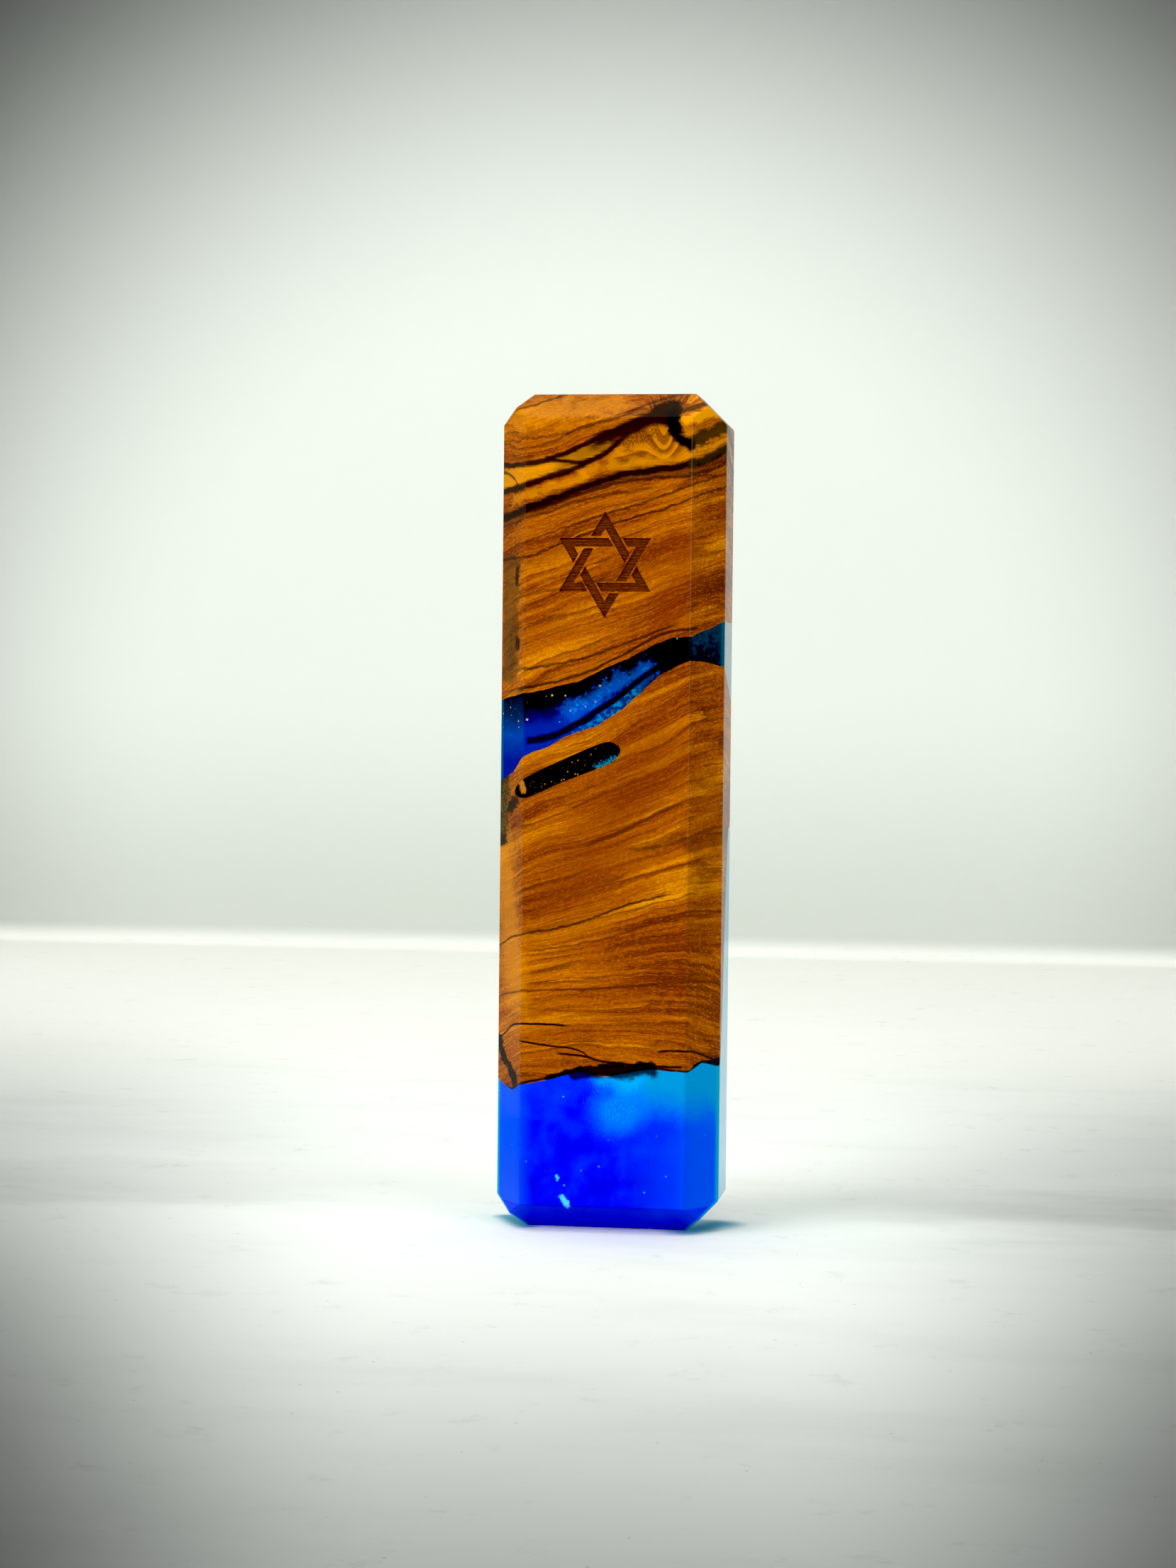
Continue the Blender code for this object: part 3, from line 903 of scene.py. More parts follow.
@dataclass(frozen=True)
class CastResin:
    """Polished epoxy resin with pearl pigment, clouded by hand while it was wet.

    Attributes:
        part: Which casting it is.
        half_width: Half of the case's width, in millimetres.
        height: The case's height, in millimetres.
        corner: The corner cut, in millimetres.
        front: Y of the front face, in metres.
    """

    part: ResinPart
    half_width: float
    height: float
    corner: float
    front: float

    def build(self) -> bpy.types.Material:
        """The material of the chosen casting, with a faint painted glow."""
        recipe = Recipe(self.part.value)
        across, along, height = recipe.millimetres()
        depth = along - self.front / MM
        place = recipe.vector(across, depth, height)
        cloud = recipe.noise(place, 1 / 5, 5, 0.6)
        grit = recipe.noise(place, 3.2, 2, 0.6)
        pick = {ResinPart.VEIN: self._vein, ResinPart.BASE: self._base, ResinPart.SLOT: self._slot}
        colour = pick[self.part](recipe, across, depth, height, cloud, grit)
        swirl = recipe.noise(place, 1 / 3, 3)
        return recipe.finish(
            Base_Color=colour, Roughness=0.13 + (swirl - 0.5) * 0.12 + (grit - 0.5) * 0.05,
            IOR=1.5, Specular_IOR_Level=0.07, Coat_Weight=depth.rise(5.8, 6.2) * 0.35, Coat_Roughness=0.12,
            # Painted glow: the faint emission stands for light scattered inside the resin; the resin is no
            # lamp.
            Emission_Color=colour, Emission_Strength=0.09,
            Normal=recipe.bump(swirl + grit * 0.06, 0.00005, 0.5))

    def _edges(self, across: Val, depth: Val, height: Val) -> Val:
        """A mask of the sides, ends and cut corners, for painted light that stands for light coming through
        the resin.
        """
        out_x = abs(across)
        out_z = abs(height - self.height / 2)
        cut = out_x + out_z - (self.half_width + self.height / 2 - self.corner)
        sides = out_x.rise(self.half_width - 0.9, self.half_width - 0.2)
        return (sides * depth.rise(4.9, 5.6)).at_least(cut.rise(-0.75, -0.15) * depth.rise(2.2, 3.2))

    def _base(self, recipe: Recipe, across: Val, depth: Val, height: Val, cloud: Val, grit: Val) -> Val:
        """Royal blue, with a light cloud below the seam, teal at the upper right, a few flecks, and painted
        light on the bevels and edges.
        """
        coats = Coats(recipe, recipe.ramp(cloud + (height - 12) * 0.008, (
            (0.30, paint(1, 12, 202)), (0.50, paint(1, 24, 218)), (0.72, paint(2, 48, 228)))))
        top = height + 0.05 * across + (cloud - 0.5) * 5
        coats.lay(top.rise(19.5, 25.5) * across.rise(-4, -16) * 0.7, paint(1, 70, 216))
        coats.lay(across.rise(2, 12) * 0.5, paint(1, 66, 226))
        # Painted light: the side bevels lighter, as if they catch more light.
        coats.lay(abs(across).rise(10.5, 14.5) * 0.65, paint(1, 84, 222))
        teal = (top + (grit - 0.5) * 2).rise(17.0, 24.0) * across.rise(0.5, 8.0)
        coats.lay(teal * 0.95, paint(1, 136, 192))
        coats.lay(height.rise(4.3, 4.1) * depth.rise(7, 5) * 0.6, paint(1, 2, 206))
        heart = near_segment(recipe, across, height, (2.0, 19.0), (3.4, 19.6))
        puff = (heart + (cloud - 0.5) * 5 + (grit - 0.5) * 5.5).rise(5.0, 1.2)
        coats.lay(puff * 0.80, paint(2, 108, 244))
        coats.lay(puff * grit.rise(0.50, 0.60) * 0.6, paint(20, 152, 250))
        glow = near_segment(recipe, across, height, (0.4, 25.0), (4.4, 24.6)) + (cloud - 0.5) * 4
        veil = (glow + (grit - 0.5) * 3.0).rise(3.6, 0.2)
        coats.lay(veil * 0.80, paint(6, 164, 228))
        # Painted light at the sides, ends and cut corners, as if coming through the resin.
        coats.lay(self._edges(across, depth, height) * 0.92, paint(2, 150, 186))
        flecks = ((-6.2, 5.6, -5.4, 4.2, 0.55), (-7.1, 8.8, -6.9, 8.3, 0.3), (-5.5, 4.9, -5.2, 4.7, 0.3))
        for x0, z0, x1, z1, radius in flecks:
            off = near_segment(recipe, across, height, (x0, z0), (x1, z1)) + (grit - 0.5) * 1.2
            coats.lay(off.rise(radius, radius * 0.3) * 0.8, paint(80, 205, 230))
        dust = recipe.specks(recipe.vector(across, depth, height), 0.70, 0.085, 0.42)
        coats.lay(dust * 0.75, paint(60, 170, 245))
        rim = near_segment(recipe, across, height, (-4.6, 24.6), (7.4, 25.6))
        coats.lay((rim + (cloud - 0.5) * 4).rise(1.3, 0.5) * depth.rise(9, 6) * 0.93, paint(4, 14, 34))
        return coats.colour

    def _vein(self, recipe: Recipe, across: Val, depth: Val, height: Val, cloud: Val, grit: Val) -> Val:
        """Black along the top and right, royal blue at the left, with a pale blue drift between."""
        bottom, top = (recipe.curve(across, [(x / MM, z / MM + self.height / 2) for x, z in line])
                       for line in (VEIN_BOTTOM, VEIN_TOP))
        level = (height - bottom) / (top - bottom).at_least(1.0) + (cloud - 0.5) * 0.5
        coats = Coats(recipe, paint(2, 38, 142))
        coats.lay(level.rise(0.36, 0.70), paint(4, 6, 12))
        coats.lay(across.rise(-3.5, 7.0), paint(4, 7, 16))
        shade = recipe.ramp((height - 71) / 14 + (cloud - 0.5) * 0.3, (
            (0.15, paint(2, 24, 128)), (0.40, paint(6, 60, 150)), (0.66, paint(2, 32, 68)),
            (0.85, paint(3, 12, 20))))
        coats.lay(across.rise(-12.7, -13.2) * 0.9, shade)
        drift = near_segment(recipe, across, height, (-5.5, 80.4), (5.8, 87.3))
        place = recipe.vector(across, depth, height)
        mottle = recipe.noise(place, 1.3, 4, 0.65)
        patch = (drift + (cloud - 0.5) * 6 + (mottle - 0.5) * 6.5).rise(2.0, 0.2)
        coats.lay(patch * 0.55, paint(8, 84, 186))
        coats.lay(patch * mottle.rise(0.50, 0.62) * 0.7, paint(12, 132, 214))
        below = recipe.curve(across, ((-17.5, 74.5), (-12.4, 76.0), (-7.8, 77.1), (-4.7, 78.7),
                                      (-1.0, 81.1), (2.6, 83.7), (5.2, 85.8), (8.0, 87.5), (17.5, 92)))
        strip = (below - height + (cloud - 0.5) * 1.5).rise(0.2, 1.0) * across.rise(-9, -2)
        coats.lay(strip * across.rise(8.5, 5.5) * 0.5, paint(2, 50, 110))
        coats.lay(strip * across.rise(7.0, 4.0) * mottle.rise(0.46, 0.60) * 0.85, paint(8, 118, 172))
        line = abs(height + (cloud - 0.5) * 1.8 - below)
        mask = line.rise(0.80, 0.35) * across.rise(-12.8, -12.0) * across.rise(9.0, 8.0)
        coats.lay(mask * 0.95, paint(4, 5, 12))
        right = across.rise(12.7, 13.2) * (mottle + (height - 90) * 0.05).rise(0.38, 0.72)
        coats.lay(right * 0.75, paint(3, 58, 84))
        shine = recipe.specks(place, 1.3, 0.20, 0.40) * level.rise(0.30, 0.6) * across.rise(1, -3)
        coats.lay(shine * 0.85, paint(190, 160, 80))
        dust = recipe.specks(place, 1.1, 0.12, 0.2)
        coats.lay(dust * 0.6, paint(60, 150, 230))
        # Painted light at the sides, ends and cut corners, as if coming through the resin.
        coats.lay(self._edges(across, depth, height) * 0.85, paint(2, 84, 110))
        return coats.colour

    def _slot(self, recipe: Recipe, across: Val, depth: Val, height: Val, cloud: Val, grit: Val) -> Val:
        """Black with gold flecks in its left half, blue ones at its right end and a chip of wood."""
        coats = Coats(recipe, paint(9, 9, 10))
        coats.lay(cloud.rise(0.35, 0.7), paint(16, 15, 13))
        gold = recipe.specks(recipe.vector(across, depth, height), 1.9, 0.20, 0.6)
        gold = gold * across.rise(0.5, -4) * across.rise(-12.5, -8)
        coats.lay(gold * 0.85, paint(168, 118, 34))
        bronze = recipe.specks(recipe.vector(across + 7, depth, height + 3), 3.4, 0.24, 0.4)
        coats.lay(bronze * across.rise(0, -3) * 0.5, paint(120, 82, 30))
        lower = near_segment(recipe, across, height, (-1.4, 72.2), (1.6, 73.5)) + (grit - 0.5) * 4.0
        coats.lay(lower.rise(0.5, 0.1) * 0.8, paint(14, 120, 160))
        chip = near_segment(recipe, across, height, (-13.3, 69.6), (-12.9, 68.4)) + (grit - 0.5) * 0.8
        coats.lay(chip.rise(0.7, 0.3) * 0.9, paint(170, 110, 40))
        return coats.colour


@dataclass(frozen=True)
class Brass:
    """Turned brass with fine tool rings and a little tarnish."""

    name: str = "turned brass"

    def build(self, axis: tuple[float, float]) -> bpy.types.Material:
        """The material for a screw whose axis is at that (x, z), in metres."""
        recipe = Recipe(self.name)
        across, along, height = recipe.millimetres()
        off_x, off_z = across - axis[0] / MM, height - axis[1] / MM
        radius = (off_x * off_x + off_z * off_z) ** 0.5
        rings = recipe.noise(recipe.vector(radius * 9.0, along * 3.0, 0.0), 1, 3)
        tarnish = recipe.noise(recipe.vector(across, along, height), 0.9, 4, 0.6)
        colour = recipe.ramp(tarnish * 0.7 + rings * 0.3, (
            (0.34, paint(150, 108, 52)), (0.50, paint(202, 160, 88)), (0.64, paint(226, 190, 118))))
        return recipe.finish(Base_Color=colour, Metallic=1.0, Roughness=0.24 + (tarnish - 0.4) * 0.5,
                             Normal=recipe.bump(rings, 0.00002, 0.6))


@dataclass(frozen=True)
class Foam:
    """White closed-cell foam of a mounting tape."""

    name: str = "tape foam"

    def build(self) -> bpy.types.Material:
        """The material: rounded cells as bumps, a little darker between them."""
        recipe = Recipe(self.name)
        place = recipe.vector(*recipe.millimetres())
        cell = recipe.read("ShaderNodeTexVoronoi", "Distance", {"Vector": place, "Scale": 6.0})
        shade = recipe.noise(place, 0.4, 3)
        coats = Coats(recipe, paint(232, 232, 226))
        coats.lay(cell.rise(0.25, 0.7) * 0.6, paint(196, 196, 190))
        coats.lay(shade.rise(0.45, 0.7) * 0.3, paint(214, 210, 198))
        return recipe.finish(Base_Color=coats.colour, Roughness=0.85, Specular_IOR_Level=0.3,
                             Normal=recipe.bump(1.0 - cell, 0.00006, 0.8))


@dataclass(frozen=True)
class Liner:
    """Waxed release paper on a mounting tape, pale yellow with a diamond quilting.

    Attributes:
        name: The material's name.
        quilt: Width of a diamond, in millimetres.
        lean: How far the ridges run across for each millimetre of height.
    """

    name: str = "release liner"
    quilt: float = 1.6
    lean: float = 0.6

    def build(self) -> bpy.types.Material:
        """The material: the product of two crossed sine waves, over faint paper fibres."""
        recipe = Recipe(self.name)
        across, along, height = recipe.millimetres()
        step = FULL_TURN / self.quilt
        ridges = (recipe.math("SINE", (across + height * self.lean) * step)
                  * recipe.math("SINE", (across - height * self.lean) * step))
        paper = recipe.noise(recipe.vector(across, along, height), 1.2, 5, 0.65)
        colour = recipe.ramp(paper, ((0.3, paint(214, 200, 150)), (0.7, paint(240, 230, 190))))
        colour = recipe.blend(ridges.rise(0.2, 1.0) * 0.25, colour, paint(250, 244, 214))
        return recipe.finish(Base_Color=colour, Roughness=0.42 + (paper - 0.5) * 0.3,
                             Normal=recipe.bump(ridges * 0.5 + paper, 0.00005, 0.7))


@dataclass(frozen=True)
class Film:
    """Thin clear film, a little milky and scuffed."""

    name: str = "clear film"

    def build(self) -> bpy.types.Material:
        """The material: mostly see-through, less so in its scuffs."""
        recipe = Recipe(self.name)
        across, along, height = recipe.millimetres()
        scuff = recipe.drawn((across, along, height), (2.0, 2.0, 0.12), 4, 0.65)
        rim = recipe.read("ShaderNodeLayerWeight", "Facing", {"Blend": 0.35})
        colour = recipe.blend(scuff.rise(0.4, 0.7), paint(236, 242, 242), paint(250, 252, 252))
        return recipe.finish(Base_Color=colour, Roughness=0.08 + scuff.rise(0.5, 0.7) * 0.2,
                             Alpha=0.20 + scuff.rise(0.52, 0.68) * 0.14 + rim * 0.25,
                             Normal=recipe.bump(scuff, 0.00006, 0.5))


@dataclass(frozen=True)
class Parchment:
    """Blank parchment: cream skin with a faint mottle and follicle dots."""

    name: str = "parchment"

    def build(self) -> bpy.types.Material:
        """The material: three sizes of noise in cream tones."""
        recipe = Recipe(self.name)
        place = recipe.vector(*recipe.millimetres())
        mottle = recipe.noise(place, 0.16, 4, 0.6)
        skin = recipe.noise(place, 1.6, 4, 0.65)
        colour = recipe.ramp(mottle * 0.6 + skin * 0.4, (
            (0.34, paint(206, 182, 136)), (0.50, paint(228, 210, 170)), (0.66, paint(240, 228, 196))))
        dots = recipe.specks(place, 2.2, 0.13, 0.5)
        colour = recipe.blend(dots * 0.35, colour, paint(170, 140, 96))
        return recipe.finish(Base_Color=colour, Roughness=0.62 + (skin - 0.5) * 0.3,
                             Specular_IOR_Level=0.3, Normal=recipe.bump(skin, 0.00008, 0.7))


# --- The case ---

SCREWS = ("cover_screw_upper", "cover_screw_lower")
BLUNT = 0.0001  # radius of a turned piece's point, which keeps its faces whole

# Seams along the front, as (across, height) in metres: the vein's heights are measured from the case's
# middle and the base's from its lower end. They are the CAD's own, so that each piece fills its node.
VEIN_TOP = ((-0.0175, 0.0173), (-0.0134, 0.0183), (-0.0047, 0.0202), (0.0019, 0.0234),
            (0.0101, 0.0272), (0.0132, 0.0274), (0.0175, 0.0299))
VEIN_BOTTOM = ((-0.0175, 0.0058), (-0.0149, 0.0067), (-0.0133, 0.0086), (-0.0092, 0.0101),
               (-0.0060, 0.0120), (-0.0015, 0.0136), (0.0026, 0.0163), (0.0085, 0.0216),
               (0.0175, 0.0260))
BASE_TOP = ((-0.0175, 0.0230), (-0.0146, 0.0216), (-0.0131, 0.0227), (-0.0081, 0.0239),
            (-0.0038, 0.0249), (0.0000, 0.0244), (0.0073, 0.0257), (0.0132, 0.0253),
            (0.0150, 0.0266), (0.0175, 0.0257))
SLOT_OUTLINE = ((-0.0146, 0.0030), (-0.0125, 0.0023), (-0.0072, 0.0046), (-0.0005, 0.0073),
                (0.0016, 0.0086), (0.0022, 0.0098), (0.0015, 0.0107), (-0.0006, 0.0109),
                (-0.0073, 0.0080), (-0.0132, 0.0050))

UPPER_WOOD = OliveWood(
    "olive wood upper",
    patches=(
        Blot((-17.0, 116.6), (-6.0, 119.0), 1.9, AMBER, 0.58, 0.5, 0.5),
        Blot((-5.6, 119.6), (-0.8, 121.7), 1.3, AMBER, 0.70, 0.4, 0.5),
        Blot((-14.0, 126.4), (0.0, 128.2), 3.4, GOLDEN, 0.42, 2.5, 0.95),
        Blot((-15.0, 113.6), (-4.0, 116.6), 1.0, GOLDEN, 0.45, 1.0, 0.9),
        Blot((-4.0, 117.8), (9.0, 119.6), 1.3, GOLDEN, 0.40, 1.4, 0.9),
        Blot((11.8, 125.4), (16.0, 127.2), 1.1, AMBER, 0.85, 0.5, 0.6),
        Blot((9.2, 95.0), (11.5, 105.0), 4.6, paint(120, 46, 5), 0.42, 2.5, 0.9),
        Blot((-15.7, 86.4), (-15.7, 103.4), 1.9, paint(66, 48, 8), 0.62, 0.5, 0.35),
    ),
    streaks=(
        Streak(((-17.5, 119.0), (-12.5, 118.8), (-7.4, 120.2), (-4.3, 121.5), (-0.8, 123.1), (2.7, 124.6),
                (6.4, 125.8)), 0.50, 0.97, 0.25),
        Streak(((-17.5, 114.8), (-12.7, 115.6), (-9.9, 116.6), (-6.3, 117.7), (-2.3, 119.5), (0.2, 121.0),
                (2.5, 123.1), (4.2, 124.8)), 0.60, 0.97, 0.25),
        Streak(((-1.6, 122.4), (2.0, 123.9), (6.4, 125.8)), 1.25, 0.97, 0.30, 2.5),
        Streak(((-9.6, 119.6), (-6.5, 119.1), (-3.6, 119.0)), 0.34, 0.95, 0.2, 0.6),
        Streak(((-17.5, 117.8), (-15.6, 117.0), (-14.6, 115.6)), 0.25, 0.8, 0.2, 0.6),
        Streak(((-17.5, 110.7), (-12.7, 112.0), (-7.3, 113.9), (-2.3, 115.7), (2.8, 117.2), (7.8, 117.9),
                (12.8, 118.7), (17.5, 121.6)), 0.68, 0.97, 0.30, 1.5, BLACK),
        Streak(((-17.5, 110.4), (-12.7, 111.6), (-3.9, 114.8), (3.4, 117.0), (12.8, 118.1), (17.5, 120.9)),
               1.35, 0.42, 0.5),
        Streak(((-6.5, 119.4), (-0.3, 122.0), (4.8, 124.9), (7.0, 126.2)), 1.3, 0.55, 0.5, 3.0),
        Streak(((-17.5, 110.2), (-12.7, 111.3), (-3.9, 114.3), (3.4, 116.2), (12.8, 117.2), (17.5, 119.5)),
               0.30, 0.75, 0.45),
        Streak(((-17.5, 109.4), (-12.7, 110.4), (-3.9, 113.2), (6.0, 115.0)), 0.26, 0.6, 0.45),
        Streak(((-12.7, 106.8), (-3.9, 110.0), (6.0, 113.0), (17.5, 117.6)), 0.22, 0.65, 0.45, 2.0),
        Streak(((-17.5, 104.2), (-12.6, 104.7), (-8.2, 106.1), (-2.7, 108.3), (3.5, 110.5), (9.3, 112.1),
                (17.5, 115.7)), 0.22, 0.75, 0.5),
        Streak(((-12.7, 98.6), (-7.0, 99.8), (0.0, 101.0)), 0.20, 0.5, 0.5, 4.0),
        Streak(((-12.7, 87.2), (-5.0, 88.6), (2.0, 91.0), (9.0, 93.6)), 0.24, 0.75, 0.4, 3.0),
        Streak(((-13.4, 84.2), (-4.7, 86.2), (1.9, 89.2), (10.1, 93.2), (13.0, 93.6)), 0.26, 0.85, 0.25),
        Streak(((-14.4, 127.4), (-11.3, 128.5), (-7.6, 130.0)), 0.22, 0.7, 0.3),
        Streak(((-17.5, 122.6), (-11.0, 122.8), (-2.0, 124.9), (3.0, 126.4)), 0.20, 0.55, 0.5),
        Streak(((3.2, 127.0), (7.1, 128.8), (12.0, 130.3)), 0.26, 0.7, 0.3),
        Streak(((10.0, 126.6), (14.4, 128.2), (17.5, 129.4)), 0.5, 0.8, 0.3),
    ),
    blots=(
        Blot((3.0, 121.9), (5.4, 123.6), 1.9, RUSSET, 0.95, 1.6, 0.6, True),
        Blot((6.0, 122.6), (6.8, 124.6), 1.1, RUSSET, 0.85, 1.2, 0.6, True),
        Blot((12.8, 121.8), (18.4, 125.6), 1.25, paint(44, 34, 8), 0.92, 0.7, 0.6),
        Blot((13.0, 118.7), (18.0, 121.9), 0.75, paint(48, 36, 8), 0.88, 0.5, 0.6),
        Blot((6.2, 125.4), (4.4, 124.2), 1.0, DARK, 0.9, 1.0, 0.7),
        Blot((7.6, 126.4), (9.2, 127.0), 2.4, DARK, 1.0, 0.7, 0.45),
        Blot((9.5, 126.2), (10.1, 124.0), 1.45, BLACK, 0.97, 0.7, 0.6),
        Blot((10.1, 124.0), (11.1, 122.5), 1.4, BLACK, 0.95, 0.8, 0.7),
        Blot((11.1, 122.5), (12.6, 121.4), 1.2, BLACK, 0.9, 0.8, 0.8),
        Blot((-15.4, 88.0), (-15.2, 93.0), 1.3, paint(34, 26, 5), 0.75, 1.0, 0.7, True),
        Blot((-14.6, 100.6), (-14.4, 102.4), 0.8, DARK, 0.95, 0.6, 0.7),
        Blot((-14.3, 90.6), (-14.3, 91.6), 0.6, DARK, 0.9, 0.6, 0.7),
    ),
    knot=(8.5, 127.0),
)

LOWER_WOOD = OliveWood(
    "olive wood lower",
    patches=(
        Blot((-13.8, 36.0), (-17.5, 62.0), 3.2, GOLDEN, 0.45, 0.9, 0.8),
        Blot((-4.0, 54.0), (7.0, 74.0), 11.0, paint(112, 44, 2), 0.44, 2.5, 0.95),
        Blot((15.0, 46.0), (15.5, 70.0), 4.0, paint(110, 48, 3), 0.36, 1.5, 0.9),
        Blot((13.0, 60.4), (17.5, 62.0), 1.5, paint(88, 40, 6), 0.5, 1.2, 0.8),
        Blot((6.5, 59.8), (12.0, 62.0), 1.2, paint(92, 42, 6), 0.5, 1.2, 0.8),
    ),
    streaks=(
        Streak(((-1.8, 60.5), (2.5, 62.3), (5.8, 64.1), (10.4, 66.3)), 0.34, 0.8, 0.35, 3.0, RUSSET),
        Streak(((4.5, 59.6), (10.6, 60.6), (13.4, 61.8), (17.5, 63.2)), 0.34, 0.6, 0.5, 2.5, RUSSET),
        Streak(((-17.5, 43.7), (-13.1, 46.1), (-8.7, 46.9), (-4.3, 48.1), (-0.3, 49.5), (3.4, 51.0),
                (8.8, 52.5)), 0.20, 0.85, 0.30, 2.0, paint(52, 24, 5)),
        Streak(((-9.5, 43.9), (-2.1, 45.2), (2.7, 46.6), (7.8, 48.2), (13.2, 50.1), (17.5, 49.9)),
               0.22, 0.70, 0.35, 4.0, RUSSET),
        Streak(((-17.5, 34.6), (-13.0, 37.3), (-6.8, 37.7), (0.6, 38.2), (7.9, 38.9), (13.3, 39.3),
                (17.5, 38.0)), 0.20, 0.75, 0.30, 1.5, RUSSET),
        Streak(((-12.9, 35.0), (0.0, 34.4), (12.0, 34.6)), 0.18, 0.4, 0.4, 3.0, RUSSET),
        Streak(((-17.5, 29.0), (-16.0, 30.4), (-13.7, 32.1), (-10.5, 32.3), (-6.4, 32.2)), 0.20, 1.0, 0.10),
        Streak(((-13.0, 29.6), (-8.6, 29.0), (-5.2, 28.7), (-2.6, 27.7)), 0.17, 1.0, 0.12, 0.5),
        Streak(((-6.7, 27.8), (-3.0, 27.5), (-0.1, 26.8), (4.4, 26.4), (12.0, 26.2)), 0.20, 1.0, 0.12, 0.8),
        Streak(((8.9, 28.5), (13.2, 28.6), (15.0, 27.9), (17.5, 26.4)), 0.20, 1.0, 0.10, 0.8),
        Streak(((-17.5, 23.2), (-14.6, 21.9), (-13.1, 22.9), (-8.1, 24.1), (-3.8, 25.1), (0.0, 24.7),
                (7.3, 25.9), (13.2, 25.5), (15.0, 26.8), (17.5, 25.9)), 0.24, 0.92, 0.08, 1.0, BLACK),
    ),
    blots=(
        Blot((-17.2, 60.4), (-16.9, 75.0), 1.6, paint(20, 18, 6), 0.97, 0.7, 0.4),
        Blot((-15.8, 65.2), (-14.8, 66.8), 1.2, paint(20, 17, 5), 0.95, 0.8, 0.5),
        Blot((-16.7, 62.0), (-16.4, 69.2), 0.9, paint(122, 94, 26), 0.75, 0.6, 0.6, True),
        Blot((-17.3, 29.4), (-16.6, 27.2), 0.75, BLACK, 0.97, 0.5, 0.4),
        Blot((-16.4, 26.8), (-14.5, 24.0), 0.75, BLACK, 0.97, 0.5, 0.4),
        Blot((-14.4, 24.2), (-14.0, 21.9), 0.6, BLACK, 0.95, 0.4, 0.4),
        Blot((-8.4, 23.9), (-3.6, 25.2), 0.85, BLACK, 0.97, 0.45, 0.4),
        Blot((-3.6, 25.2), (7.4, 26.0), 1.15, BLACK, 0.98, 0.6, 0.4),
        Blot((14.2, 26.0), (17.6, 26.6), 0.8, paint(6, 12, 26), 0.97, 0.3, 0.3),
    ),
)


